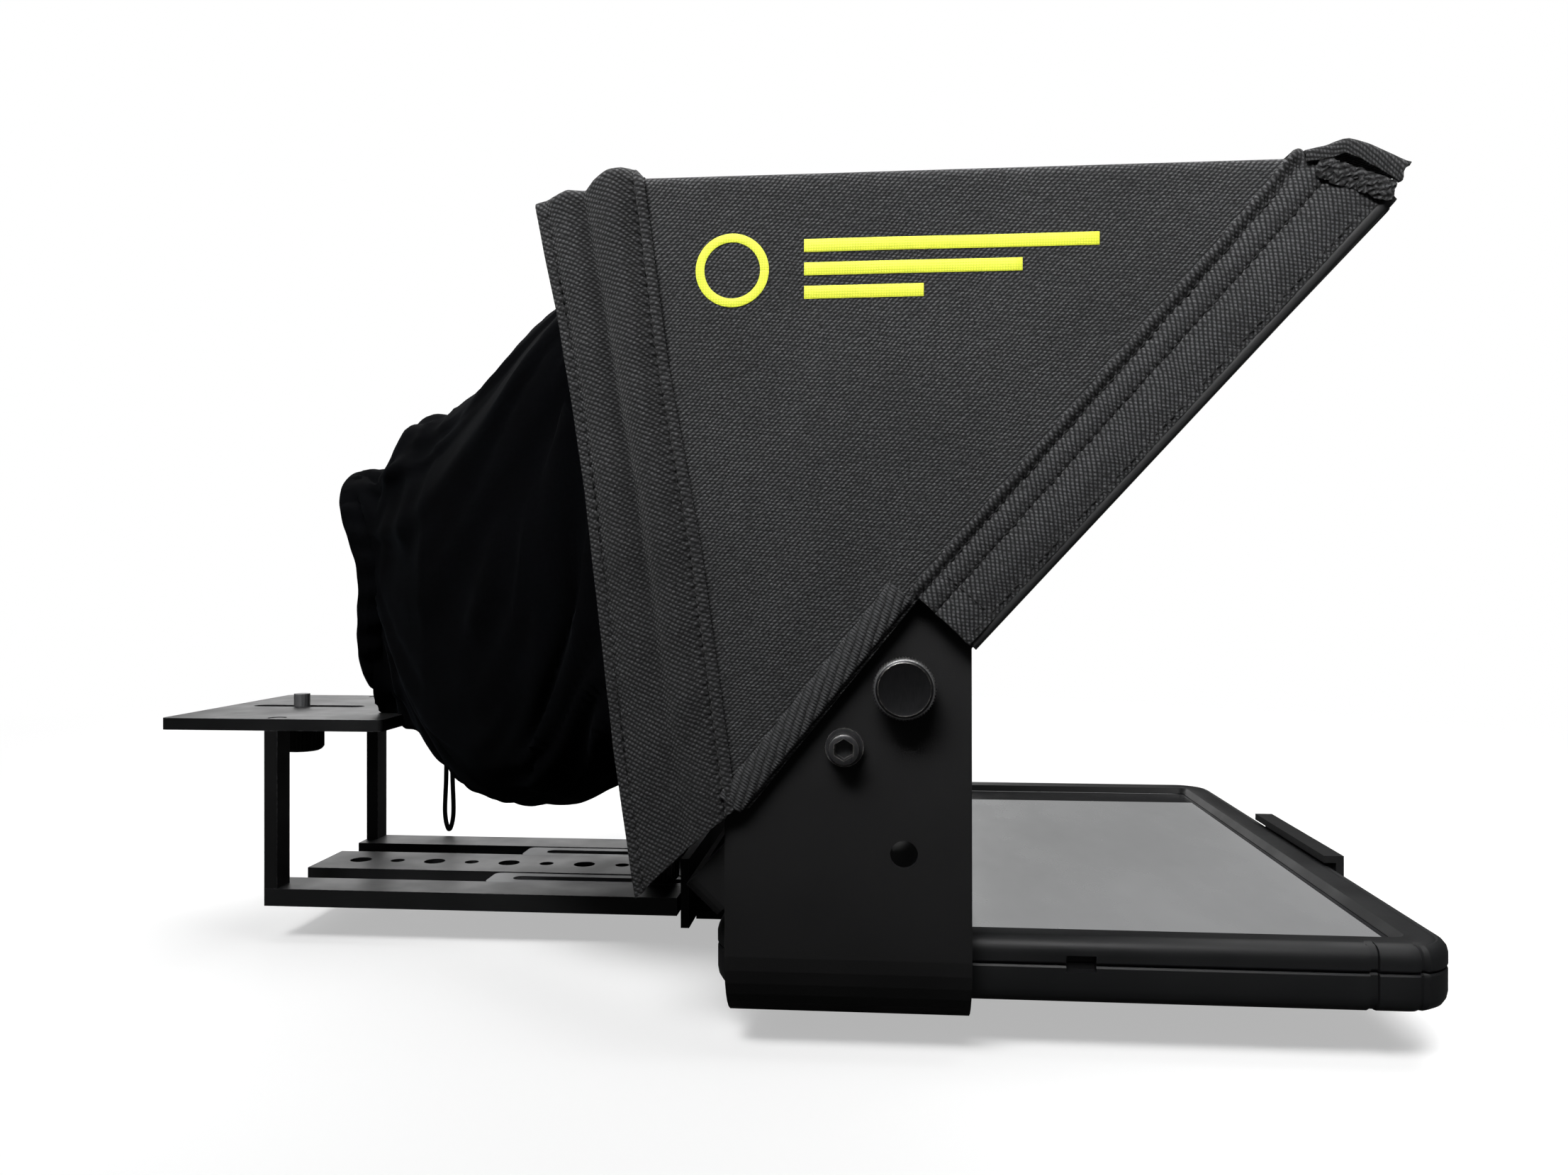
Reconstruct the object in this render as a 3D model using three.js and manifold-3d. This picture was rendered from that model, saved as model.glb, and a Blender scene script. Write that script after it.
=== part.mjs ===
// Teleprompter for a camera: a base plate with a raised camera platform, and a sliding carriage
// that holds the tablet, the tilting beam-splitter glass, the fabric hood and the lens shroud.
// Millimetres. +X points forwards to the speaker, +Y to the far side, +Z up.
import * as THREE from "three";
import { mergeVertices } from "three/addons/utils/BufferGeometryUtils.js";
import Module from "manifold-3d";

const wasm = await Module();
wasm.setup();

// ---- Driving dimensions. X = 0 is the middle of the base plate, Z = 0 its underside ----
const GAP = 0.3; // clearance left between neighbouring pieces
const SCREW_HOLE = 1.8; // radius of a clearance hole for an M3 screw
const SCREW_SHANK = 1.45;
const STUD = 2.4; // radius of an M5 stud
const STUD_HOLE = 2.7;

const BASE_LENGTH = 152.4;
const BASE_WIDTH = 94;
const BASE_THICKNESS = 6.35;
const GROOVE_INNER = 14.5; // a groove's edges, from the centre line
const GROOVE_OUTER = 30;
const GROOVE_FLOOR = 2.05;
const HOLE_PITCH = 15.3;
const HOLES_EACH_SIDE = 4; // on each side of the middle hole
const LARGE_TRIPOD_HOLE = 4.2;
const SMALL_TRIPOD_HOLE = 2.8;

const POST_DEPTH = 5;
const POST_WIDTH = 9;
const PLATFORM_REAR = -116;
const PLATFORM_FRONT = -32;
const PLATFORM_BOTTOM = 63.9;
const PLATFORM_THICKNESS = 4.3;
const CAMERA_SLOT_REAR = -106;
const CAMERA_SLOT_FRONT = -60;
const CAMERA_SLOT_HALF_WIDTH = 3.5;
const CAMERA_SCREW_X = -86;
const CAMERA_KNOB_RADIUS = 8.5;
const CAMERA_KNOB_BOTTOM = 50.3;
const CAMERA_KNOB_EDGE = 2.5; // radius of the knob's rounded lower edge
const CAMERA_WASHER_RADIUS = 7.5;
const CAMERA_WASHER_THICKNESS = 1.6;
const CAMERA_STUD_RADIUS = 3.1;
const CAMERA_STUD_TOP = 73.2;

const ARM_REAR = 0;
const ARM_FRONT = 97.5;
const ARM_THICKNESS = 3.7;
const ARM_SLOT_REAR = 9;
const ARM_SLOT_FRONT = 75;
const ARM_SLOT_HALF_WIDTH = 2.9;
const LOCK_X = 66;
const LOCK_NUT_RADIUS = 6.2;
const LOCK_NUT_TOP = 15;
const ARM_SCREW_PLACES = [86, 93];

const FLANGE_REAR = 77.4;
const FLANGE_THICKNESS = 3;
const FLANGE_HALF_WIDTH = 46;
const FLANGE_TOP = 20;

const CRADLE_REAR = 106;
const CRADLE_FRONT = 173;
const CRADLE_HALF_WIDTH = 140;
const CRADLE_SHEET = 3;
const CRADLE_BOTTOM = -4.5;
const CRADLE_BEND = 20;
const CRADLE_TOP = 121;
const TONGUE_HALF_WIDTH = 34;
const SPARE_HOLE_X = 154.8;
const SPARE_HOLE_Z = 44;
const SPARE_HOLE_RADIUS = 3.8;

// The glass frame turns on the two pivot screws. Its own axes are u, up along the glass, and
// w, square to the glass and away from the tablet.
const PIVOT_X = 138.8;
const PIVOT_Z = 73.1;
const GLASS_TILT = THREE.MathUtils.degToRad(46.8);
const FRAME_LOWER = -59.6;
const FRAME_UPPER = 203.5;
const FRAME_HALF_WIDTH = 136.3;
const FRAME_FACE = -6.8;
const FRAME_BACK = 5.2;
const FRAME_RAIL = 8;
const FRAME_LEDGE = 5;
const FRAME_LEDGE_THICKNESS = 2;
const GLASS_THICKNESS = 3;
const THUMBSCREW_U = 22.84; // the tilt thumbscrew, along the rail from the pivot
const THUMBSCREW_W = -0.5;
const THUMBSCREW_RADIUS = 8.5;
const THUMBSCREW_HEAD = 8;
const TILT_FORWARDS = THREE.MathUtils.degToRad(8);
const TILT_BACKWARDS = THREE.MathUtils.degToRad(5);

const TABLET_REAR = 101;
const TABLET_FRONT = 304;
const TABLET_HALF_WIDTH = 132;
const TABLET_BOTTOM = 2;
const TABLET_TOP = 20.3;
const TABLET_CORNER = 15;
const TABLET_PARTING = 13;
const SLAB_REAR = 111; // the tablet itself, inside its case
const SLAB_FRONT = 294;
const SLAB_HALF_WIDTH = 120;
const SLAB_BOTTOM = 6;
const SLAB_TOP = 16.6;
const SCREEN_TOP = 17.4;
const SCREEN_EDGE = 0.5; // the glass is this much smaller than the tablet all round
const BEZEL = 3; // the case's front shell covers this much of the tablet's short sides
const BEZEL_REAR = 4;
const PORT_NOTCH = { rear: 199, front: 207, bottom: 11.3, top: 15.7, depth: 6 };
const CORNER_GROOVES = [280, 293.5];
const GROOVE_HALF_WIDTH = 0.9;
const GROOVE_DEPTH = 1.2;
const TRAY_BOTTOM = -1.2;
const TRAY_THICKNESS = 2;
const TRAY_HALF_WIDTH = 60;
const TRAY_FRONT = 262;
const TRAY_SCREW_PLACES = [120, 159];
const TRAY_SCREW_Y = 46;
const TRAY_WINDOW = { rear: 176, front: 238, inner: 22, outer: 52, corner: 6 };
const TRAY_LIP_TOP = 14;
const PAD_PLACES = [["rear", 104], ["front", 250]];
const PAD_LENGTH = 10;
const CLAMP_BOTTOM = -3.5;
const CLAMP_THICKNESS = 2;
const CLAMP_REAR = 176;
const CLAMP_HOOK_X = TABLET_FRONT + GAP;
const CLAMP_HALF_WIDTH = 38;
const CLAMP_LOCK_X = 232;
const CLAMP_GUIDE_X = 246;
const CLAMP_SLOT_REAR = 188;
const CLAMP_SLOT_FRONT = 251;
const CLAMP_KNOB_RADIUS = 8;
const CLAMP_KNOB_HEIGHT = 9;

const HOOD_INSIDE = 140.6; // inner face of a side panel
const HOOD_CLOTH = 1.6;
const HOOD_TOP = 228;
const COLLAR_X = -57;
const COLLAR_LENGTH = 10;
const COLLAR_RADIUS = 45.2;
const LENS_AXIS_Z = 117;
const SHROUD_CLOTH = 2;
const CORD_RADIUS = 0.7;
const CORD_LOCK = new THREE.Vector3(-45, 53.5, 50);

// The part's origin lies on the underside of the base plate, half a pitch ahead of the middle hole.
const ORIGIN_X = HOLE_PITCH / 2;

// ---- Materials ----
function material(color, roughness, metalness, opacity = 1) {
  const transparent = opacity < 1;
  return new THREE.MeshStandardMaterial({ color, roughness, metalness, opacity, transparent });
}
const blackAnodised = material(0x17181a, 0.45, 0.6);
const satinAluminium = material(0x6b6e72, 0.4, 0.8);
const blackPowderCoat = material(0x141415, 0.7, 0.2);
const blackSteel = material(0x202124, 0.4, 0.8);
const coatedGlass = material(0xb9c4c6, 0.05, 0.1, 0.35);
const blackRubber = material(0x0e0e0f, 0.85, 0);
const casePlastic = material(0x16171a, 0.6, 0);
const tabletMetal = material(0x2a2b2e, 0.4, 0.6);
const screenGlass = material(0x54575b, 0.15, 0.1);
const hoodCloth = material(0x1b1c1f, 0.95, 0);
const shroudVelvet = material(0x0a0a0d, 1, 0);
const cordMaterial = material(0x101011, 0.9, 0);

// ---- Shapes and booleans ----
// Sends a drawing's x, y and extrusion depth to three directions of the part.
const DRAWN_XZ = [[1, 0, 0], [0, 0, 1], [0, -1, 0]]; // drawn in X and Z, extruded towards -Y
const DRAWN_YZ = [[0, 1, 0], [0, 0, 1], [1, 0, 0]]; // drawn in Y and Z, extruded towards +X

function turned(geometry, directions) {
  const [a, b, c] = directions.map((d) => new THREE.Vector3(...d));
  return geometry.applyMatrix4(new THREE.Matrix4().makeBasis(a, b, c));
}

// Every arc in a drawing spans at most a quarter turn, and is drawn with twice curveSegments sides.
function extruded(shape, depth, curveSegments = 2) {
  return new THREE.ExtrudeGeometry(shape, { depth, curveSegments, bevelEnabled: false });
}

function prismZ(shape, z0, z1, curveSegments) {
  return extruded(shape, z1 - z0, curveSegments).translate(0, 0, z0);
}

function prismY(shape, y0, y1, curveSegments) {
  return turned(extruded(shape, y1 - y0, curveSegments), DRAWN_XZ).translate(0, y1, 0);
}

function prismX(shape, x0, x1, curveSegments) {
  return turned(extruded(shape, x1 - x0, curveSegments), DRAWN_YZ).translate(x0, 0, 0);
}

function block(x0, x1, y0, y1, z0, z1) {
  const box = new THREE.BoxGeometry(x1 - x0, y1 - y0, z1 - z0);
  return box.translate((x0 + x1) / 2, (y0 + y1) / 2, (z0 + z1) / 2);
}

function rodZ(radius, x, y, z0, z1, segments = 16) {
  const rod = new THREE.CylinderGeometry(radius, radius, z1 - z0, segments).rotateX(Math.PI / 2);
  return rod.translate(x, y, (z0 + z1) / 2);
}

function rodY(radius, x, z, y0, y1, segments = 16) {
  const rod = new THREE.CylinderGeometry(radius, radius, y1 - y0, segments);
  return rod.translate(x, (y0 + y1) / 2, z);
}

// A turned piece about a vertical line. The profile lists [radius, height] pairs.
function turnedZ(profile, x, y, segments = 20) {
  const points = profile.map(([r, z]) => new THREE.Vector2(r, z));
  return new THREE.LatheGeometry(points, segments).rotateX(Math.PI / 2).translate(x, y, 0);
}

function ringZ(inner, outer, x, y, z0, z1, segments = 20) {
  return turnedZ([[inner, z0], [outer, z0], [outer, z1], [inner, z1], [inner, z0]], x, y, segments);
}

function polygon(points) {
  return new THREE.Shape(points.map(([a, b]) => new THREE.Vector2(a, b)));
}

function roundedRectangle(x0, x1, y0, y1, radius) {
  const shape = new THREE.Shape();
  shape.absarc(x1 - radius, y0 + radius, radius, -Math.PI / 2, 0);
  shape.absarc(x1 - radius, y1 - radius, radius, 0, Math.PI / 2);
  shape.absarc(x0 + radius, y1 - radius, radius, Math.PI / 2, Math.PI);
  shape.absarc(x0 + radius, y0 + radius, radius, Math.PI, Math.PI * 1.5);
  return shape;
}

function slot(x0, x1, y, halfWidth) {
  return roundedRectangle(x0, x1, y - halfWidth, y + halfWidth, halfWidth - 0.01);
}

function circle(x, y, radius) {
  const shape = new THREE.Shape();
  for (let quarter = 0; quarter < 4; quarter += 1) {
    shape.absarc(x, y, radius, (quarter * Math.PI) / 2, ((quarter + 1) * Math.PI) / 2);
  }
  return shape;
}

// A round outline with shallow finger grips, and a bore through it.
function knurled(radius, lobes, bore) {
  const depth = 0.3;
  const pointsPerLobe = 3;
  const count = lobes * pointsPerLobe;
  const points = [];
  for (let i = 0; i < count; i += 1) {
    const angle = (i / count) * Math.PI * 2;
    const r = radius + depth * Math.cos(angle * lobes);
    points.push([r * Math.cos(angle), r * Math.sin(angle)]);
  }
  const shape = polygon(points);
  shape.holes.push(circle(0, 0, bore));
  return shape;
}

function solid(geometry) {
  const bare = new THREE.BufferGeometry();
  bare.setAttribute("position", geometry.getAttribute("position"));
  bare.setIndex(geometry.index);
  const merged = mergeVertices(bare, 1e-4);
  const vertProperties = merged.attributes.position.array;
  const triVerts = new Uint32Array(merged.index.array);
  return new wasm.Manifold(new wasm.Mesh({ numProp: 3, vertProperties, triVerts }));
}

function geometryOf(shape) {
  const mesh = shape.getMesh();
  const geometry = new THREE.BufferGeometry();
  geometry.setAttribute("position", new THREE.BufferAttribute(mesh.vertProperties, 3));
  geometry.setIndex(new THREE.BufferAttribute(mesh.triVerts, 1));
  geometry.computeVertexNormals();
  return geometry;
}

function cut(geometry, tools) {
  let shape = solid(geometry);
  for (const tool of tools) {
    shape = shape.subtract(solid(tool));
  }
  return geometryOf(shape);
}

function joined(geometries) {
  let shape = solid(geometries[0]);
  for (const geometry of geometries.slice(1)) {
    shape = shape.add(solid(geometry));
  }
  return geometryOf(shape);
}

// ---- The assembly: everything hangs in one group, and the glass frame has its own ----
const teleprompter = new THREE.Group();
const assembly = new THREE.Group();
assembly.position.x = -ORIGIN_X;
teleprompter.add(assembly);

const glassGroup = new THREE.Group();
glassGroup.position.set(PIVOT_X, 0, PIVOT_Z);
glassGroup.rotation.y = -GLASS_TILT;
assembly.add(glassGroup);

function add(name, geometry, finish, parent = assembly) {
  const mesh = new THREE.Mesh(geometry, finish);
  mesh.name = name;
  parent.add(mesh);
}

const SIDES = [["near", -1], ["far", 1]];

// Orders a pair of distances from the centre line into low and high Y on one side.
function span(side, inner, outer) {
  return side > 0 ? [inner, outer] : [-outer, -inner];
}

// A countersunk screw: its flat head ends at headZ, and its shank runs to tipZ.
const COUNTERSINK = 2.9;
const HEAD_HEIGHT = 1.5;
function countersunkScrew(x, y, headZ, tipZ) {
  const way = Math.sign(tipZ - headZ);
  const neckZ = headZ + way * HEAD_HEIGHT;
  const profile = [[0, headZ], [COUNTERSINK, headZ], [SCREW_SHANK, neckZ], [SCREW_SHANK, tipZ], [0, tipZ]];
  return turnedZ(way > 0 ? profile : profile.reverse(), x, y, 12);
}

// The hole for that screw, with a cone at the face it goes in by.
function countersunkHole(x, y, faceZ, endZ) {
  const way = Math.sign(endZ - faceZ);
  const mouth = COUNTERSINK + 0.6;
  const profile = [
    [0, faceZ - way],
    [mouth, faceZ - way],
    [mouth, faceZ],
    [SCREW_HOLE, faceZ + way * (HEAD_HEIGHT + 0.5)],
    [SCREW_HOLE, endZ + way],
    [0, endZ + way],
  ];
  return turnedZ(way > 0 ? profile : profile.reverse(), x, y, 12);
}

// ---- Base plate and camera platform ----
const BASE_END = BASE_LENGTH / 2;
const BASE_SIDE = BASE_WIDTH / 2;
const POST_X = -BASE_END + POST_DEPTH / 2;
const POST_Y = BASE_SIDE - POST_WIDTH / 2;
const GROOVE_MIDDLE = (GROOVE_INNER + GROOVE_OUTER) / 2;
const PLATFORM_TOP = PLATFORM_BOTTOM + PLATFORM_THICKNESS;

function basePlate() {
  const tools = [];
  for (const [, side] of SIDES) {
    const [y0, y1] = span(side, GROOVE_INNER, GROOVE_OUTER);
    tools.push(block(-BASE_END - 1, BASE_END + 1, y0, y1, GROOVE_FLOOR, BASE_THICKNESS + 1));
    tools.push(rodZ(STUD_HOLE, LOCK_X, side * GROOVE_MIDDLE, -1, BASE_THICKNESS));
    tools.push(countersunkHole(POST_X, side * POST_Y, 0, BASE_THICKNESS));
  }
  for (let i = -HOLES_EACH_SIDE; i <= HOLES_EACH_SIDE; i += 1) {
    const radius = i % 2 === 0 ? LARGE_TRIPOD_HOLE : SMALL_TRIPOD_HOLE;
    tools.push(rodZ(radius, i * HOLE_PITCH, 0, -1, BASE_THICKNESS + 1, 20));
  }
  return cut(block(-BASE_END, BASE_END, -BASE_SIDE, BASE_SIDE, 0, BASE_THICKNESS), tools);
}
add("base_plate", basePlate(), blackAnodised);

function riserPost(side) {
  const [y0, y1] = span(side, BASE_SIDE - POST_WIDTH, BASE_SIDE);
  const post = block(-BASE_END, -BASE_END + POST_DEPTH, y0, y1, BASE_THICKNESS, PLATFORM_BOTTOM);
  const y = side * POST_Y;
  const holeDepth = 11;
  return cut(post, [
    rodZ(SCREW_HOLE, POST_X, y, BASE_THICKNESS - 1, BASE_THICKNESS + holeDepth, 12),
    rodZ(SCREW_HOLE, POST_X, y, PLATFORM_BOTTOM - holeDepth, PLATFORM_BOTTOM + 1, 12),
  ]);
}

function cameraPlatform() {
  const outline = roundedRectangle(PLATFORM_REAR, PLATFORM_FRONT, -BASE_SIDE, BASE_SIDE, 2);
  outline.holes.push(slot(CAMERA_SLOT_REAR, CAMERA_SLOT_FRONT, 0, CAMERA_SLOT_HALF_WIDTH));
  const holes = SIDES.map(([, side]) => {
    return countersunkHole(POST_X, side * POST_Y, PLATFORM_TOP, PLATFORM_BOTTOM);
  });
  return cut(prismZ(outline, PLATFORM_BOTTOM, PLATFORM_TOP), holes);
}
add("camera_platform", cameraPlatform(), blackAnodised);

const RISER_SCREW_LENGTH = 14;
for (const [name, side] of SIDES) {
  const y = side * POST_Y;
  add(`riser_post_${name}`, riserPost(side), blackAnodised);
  add(`riser_lower_screw_${name}`, countersunkScrew(POST_X, y, GAP, RISER_SCREW_LENGTH), blackSteel);
  const headZ = PLATFORM_TOP - GAP;
  const upperScrew = countersunkScrew(POST_X, y, headZ, headZ - RISER_SCREW_LENGTH);
  add(`riser_upper_screw_${name}`, upperScrew, blackSteel);
}

// The camera screw: a washer that slides along the slot, and a knob with its 1/4 inch stud.
const WASHER_TOP = PLATFORM_BOTTOM - GAP;
const WASHER_BOTTOM = WASHER_TOP - CAMERA_WASHER_THICKNESS;
function cameraKnob() {
  const bore = CAMERA_STUD_RADIUS + GAP;
  const top = WASHER_BOTTOM - GAP;
  const edge = CAMERA_KNOB_EDGE;
  const profile = [[bore, CAMERA_KNOB_BOTTOM]];
  for (let i = 0; i <= 4; i += 1) {
    const angle = (i / 4) * (Math.PI / 2);
    const r = CAMERA_KNOB_RADIUS - edge + edge * Math.sin(angle);
    profile.push([r, CAMERA_KNOB_BOTTOM + edge - edge * Math.cos(angle)]);
  }
  profile.push([CAMERA_KNOB_RADIUS, top - 1], [CAMERA_KNOB_RADIUS - 1, top], [bore, top]);
  profile.push(profile[0]);
  return turnedZ(profile, CAMERA_SCREW_X, 0, 28);
}
add(
  "camera_screw_washer",
  ringZ(CAMERA_STUD_RADIUS + GAP, CAMERA_WASHER_RADIUS, CAMERA_SCREW_X, 0, WASHER_BOTTOM, WASHER_TOP),
  blackSteel,
);
add("camera_screw_knob", cameraKnob(), blackPowderCoat);
add(
  "camera_screw_stud",
  rodZ(CAMERA_STUD_RADIUS, CAMERA_SCREW_X, 0, CAMERA_KNOB_BOTTOM + 1, CAMERA_STUD_TOP),
  satinAluminium,
);

// ---- Slide arms, their locks and the flange that joins them to the cradle ----
const ARM_BOTTOM = GROOVE_FLOOR + GAP;
const ARM_TOP = ARM_BOTTOM + ARM_THICKNESS;
const ARM_HALF_WIDTH = (GROOVE_OUTER - GROOVE_INNER) / 2 - 0.35;

function slideArm(side) {
  const y = side * GROOVE_MIDDLE;
  const outline = roundedRectangle(ARM_REAR, ARM_FRONT, y - ARM_HALF_WIDTH, y + ARM_HALF_WIDTH, 3);
  outline.holes.push(slot(ARM_SLOT_REAR, ARM_SLOT_FRONT, y, ARM_SLOT_HALF_WIDTH));
  for (const x of ARM_SCREW_PLACES) {
    outline.holes.push(circle(x, y, SCREW_HOLE));
  }
  return prismZ(outline, ARM_BOTTOM, ARM_TOP);
}

function carriageFlange() {
  const footTop = ARM_BOTTOM - GAP;
  const footFront = ARM_FRONT - 0.5;
  const front = FLANGE_REAR + FLANGE_THICKNESS;
  const leg = block(FLANGE_REAR, front, -FLANGE_HALF_WIDTH, FLANGE_HALF_WIDTH, CRADLE_BOTTOM, FLANGE_TOP);
  const foot = block(front - 1, footFront, -TONGUE_HALF_WIDTH, TONGUE_HALF_WIDTH, TRAY_BOTTOM, footTop);
  const tools = [];
  for (const [, side] of SIDES) {
    const [y0, y1] = span(side, GROOVE_INNER, GROOVE_OUTER);
    tools.push(block(FLANGE_REAR - 1, front + 0.01, y0, y1, footTop, ARM_TOP + 0.5));
    for (const x of ARM_SCREW_PLACES) {
      tools.push(rodZ(SCREW_HOLE, x, side * GROOVE_MIDDLE, TRAY_BOTTOM - 1, footTop + 1, 12));
    }
  }
  return cut(joined([leg, foot]), tools);
}
add("carriage_flange", carriageFlange(), blackPowderCoat);

function panHeadScrew(x, y, seatZ, tipZ) {
  const head = 2.8;
  const headTop = seatZ + 1.8;
  const profile = [[0, tipZ], [SCREW_SHANK, tipZ], [SCREW_SHANK, seatZ], [head, seatZ]];
  profile.push([head, headTop - 0.7], [head - 0.7, headTop], [0, headTop]);
  return turnedZ(profile, x, y, 12);
}

for (const [name, side] of SIDES) {
  const y = side * GROOVE_MIDDLE;
  add(`slide_arm_${name}`, slideArm(side), satinAluminium);
  add(`lock_stud_${name}`, rodZ(STUD, LOCK_X, y, GAP, LOCK_NUT_TOP + 1.5), blackSteel);
  const nut = prismZ(knurled(LOCK_NUT_RADIUS, 16, STUD_HOLE), ARM_TOP + 0.35, LOCK_NUT_TOP);
  add(`lock_nut_${name}`, nut.translate(LOCK_X, y, 0), blackSteel);
  ARM_SCREW_PLACES.forEach((x, i) => {
    const place = i === 0 ? "rear" : "front";
    add(`arm_screw_${name}_${place}`, panHeadScrew(x, y, ARM_TOP + GAP, CRADLE_BOTTOM + 0.5), blackSteel);
  });
}

// ---- U cradle: one bent sheet with a tongue to the rear ----
function cradleSection() {
  const outer = CRADLE_HALF_WIDTH;
  const inner = outer - CRADLE_SHEET;
  const bendY = outer - CRADLE_BEND;
  const bendZ = CRADLE_BOTTOM + CRADLE_BEND;
  const innerBend = CRADLE_BEND - CRADLE_SHEET;
  const shape = new THREE.Shape();
  shape.moveTo(-outer, CRADLE_TOP);
  shape.absarc(-bendY, bendZ, CRADLE_BEND, Math.PI, Math.PI * 1.5);
  shape.absarc(bendY, bendZ, CRADLE_BEND, Math.PI * 1.5, Math.PI * 2);
  shape.lineTo(outer, CRADLE_TOP);
  shape.lineTo(inner, CRADLE_TOP);
  shape.absarc(bendY, bendZ, innerBend, 0, -Math.PI / 2, true);
  shape.absarc(-bendY, bendZ, innerBend, -Math.PI / 2, -Math.PI, true);
  shape.lineTo(-inner, CRADLE_TOP);
  return shape;
}

// The side view of the cradle: its upper corners are cut away, just inside the hood's lower edge.
function cradleProfile() {
  return polygon([
    [CRADLE_REAR, CRADLE_BOTTOM - 1],
    [CRADLE_FRONT, CRADLE_BOTTOM - 1],
    [CRADLE_FRONT, CRADLE_TOP - 21],
    [CRADLE_FRONT - 18, CRADLE_TOP],
    [CRADLE_REAR, CRADLE_TOP - 59],
  ]);
}

// The slot that the tilt thumbscrew's stud moves in, an arc about the pivot.
function tiltSlot() {
  const radius = Math.hypot(THUMBSCREW_U, THUMBSCREW_W);
  const rest = GLASS_TILT + Math.atan2(THUMBSCREW_W, THUMBSCREW_U);
  const margin = (GAP + 0.2) / radius;
  const low = rest - TILT_FORWARDS - margin;
  const high = rest + TILT_BACKWARDS + margin;
  const at = (angle) => [PIVOT_X + radius * Math.cos(angle), PIVOT_Z + radius * Math.sin(angle)];
  const shape = new THREE.Shape();
  const [highX, highZ] = at(high);
  const [lowX, lowZ] = at(low);
  shape.absarc(lowX, lowZ, STUD_HOLE, low - Math.PI, low);
  shape.absarc(highX, highZ, STUD_HOLE, high, high + Math.PI);
  return shape;
}

function cradleBracket() {
  const reach = CRADLE_HALF_WIDTH + 5;
  const sheet = solid(prismX(cradleSection(), CRADLE_REAR, CRADLE_FRONT, 4));
  const bent = geometryOf(sheet.intersect(solid(prismY(cradleProfile(), -reach, reach))));
  const floorTop = CRADLE_BOTTOM + CRADLE_SHEET;
  const tongueRear = FLANGE_REAR + FLANGE_THICKNESS + 0.6;
  const side = TONGUE_HALF_WIDTH;
  const tongue = block(tongueRear, CRADLE_REAR + 1, -side, side, CRADLE_BOTTOM, floorTop);
  const tools = [
    rodY(STUD_HOLE, PIVOT_X, PIVOT_Z, -reach, reach),
    rodY(SPARE_HOLE_RADIUS, SPARE_HOLE_X, SPARE_HOLE_Z, -reach, reach, 24),
    prismY(tiltSlot(), -reach, reach),
  ];
  for (const [, way] of SIDES) {
    for (const x of ARM_SCREW_PLACES) {
      tools.push(rodZ(SCREW_HOLE, x, way * GROOVE_MIDDLE, CRADLE_BOTTOM - 1, floorTop + 1, 12));
    }
    for (const x of TRAY_SCREW_PLACES) {
      tools.push(rodZ(SCREW_HOLE, x, way * TRAY_SCREW_Y, CRADLE_BOTTOM - 1, floorTop + 1, 12));
    }
  }
  return cut(joined([bent, tongue]), tools);
}
add("cradle_bracket", cradleBracket(), blackPowderCoat);

// ---- Glass frame, in the tilted group: x is u, z is w ----
const FRAME_INNER_SIDE = FRAME_HALF_WIDTH - FRAME_RAIL;
const FRAME_INNER_LOWER = FRAME_LOWER + FRAME_RAIL;
const FRAME_INNER_UPPER = FRAME_UPPER - FRAME_RAIL;
const LEDGE_TOP = FRAME_FACE + FRAME_LEDGE_THICKNESS;

function glassFrame() {
  const w = FRAME_HALF_WIDTH;
  const inner = FRAME_INNER_SIDE;
  const ledge = inner - FRAME_LEDGE;
  const low = FRAME_INNER_LOWER;
  const high = FRAME_INNER_UPPER;
  const reach = w + 1;
  return cut(prismZ(roundedRectangle(FRAME_LOWER, FRAME_UPPER, -w, w, 4), FRAME_FACE, FRAME_BACK), [
    block(low, high, -inner, inner, LEDGE_TOP, FRAME_BACK + 1),
    block(low + FRAME_LEDGE, high - FRAME_LEDGE, -ledge, ledge, FRAME_FACE - 1, LEDGE_TOP + 1),
    rodY(STUD_HOLE, 0, 0, -reach, reach),
    rodY(STUD_HOLE, THUMBSCREW_U, THUMBSCREW_W, -reach, reach),
  ]);
}
add("glass_frame", glassFrame(), blackPowderCoat, glassGroup);

const GLASS_BOTTOM = LEDGE_TOP + GAP;
const RETAINER_BOTTOM = GLASS_BOTTOM + GLASS_THICKNESS + GAP;
const RETAINER_TOP = RETAINER_BOTTOM + 2.2;
const GLASS_SIDE = FRAME_INNER_SIDE - GAP;
const GLASS_LOWER = FRAME_INNER_LOWER + GAP;
const GLASS_UPPER = FRAME_INNER_UPPER - GAP;
const RETAINER_WIDTH = 6;
add(
  "beam_splitter_glass",
  block(GLASS_LOWER, GLASS_UPPER, -GLASS_SIDE, GLASS_SIDE, GLASS_BOTTOM, GLASS_BOTTOM + GLASS_THICKNESS),
  coatedGlass,
  glassGroup,
);
for (const [name, side] of SIDES) {
  const [y0, y1] = span(side, GLASS_SIDE - RETAINER_WIDTH, GLASS_SIDE);
  const strip = block(GLASS_LOWER, GLASS_UPPER, y0, y1, RETAINER_BOTTOM, RETAINER_TOP);
  add(`glass_retainer_${name}`, strip, blackRubber, glassGroup);
}
const RETAINER_SIDE = GLASS_SIDE - RETAINER_WIDTH - GAP;
const RETAINER_ENDS = [
  ["lower", GLASS_LOWER, GLASS_LOWER + RETAINER_WIDTH],
  ["upper", GLASS_UPPER - RETAINER_WIDTH, GLASS_UPPER],
];
for (const [name, u0, u1] of RETAINER_ENDS) {
  const strip = block(u0, u1, -RETAINER_SIDE, RETAINER_SIDE, RETAINER_BOTTOM, RETAINER_TOP);
  add(`glass_retainer_${name}`, strip, blackRubber, glassGroup);
}

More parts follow.
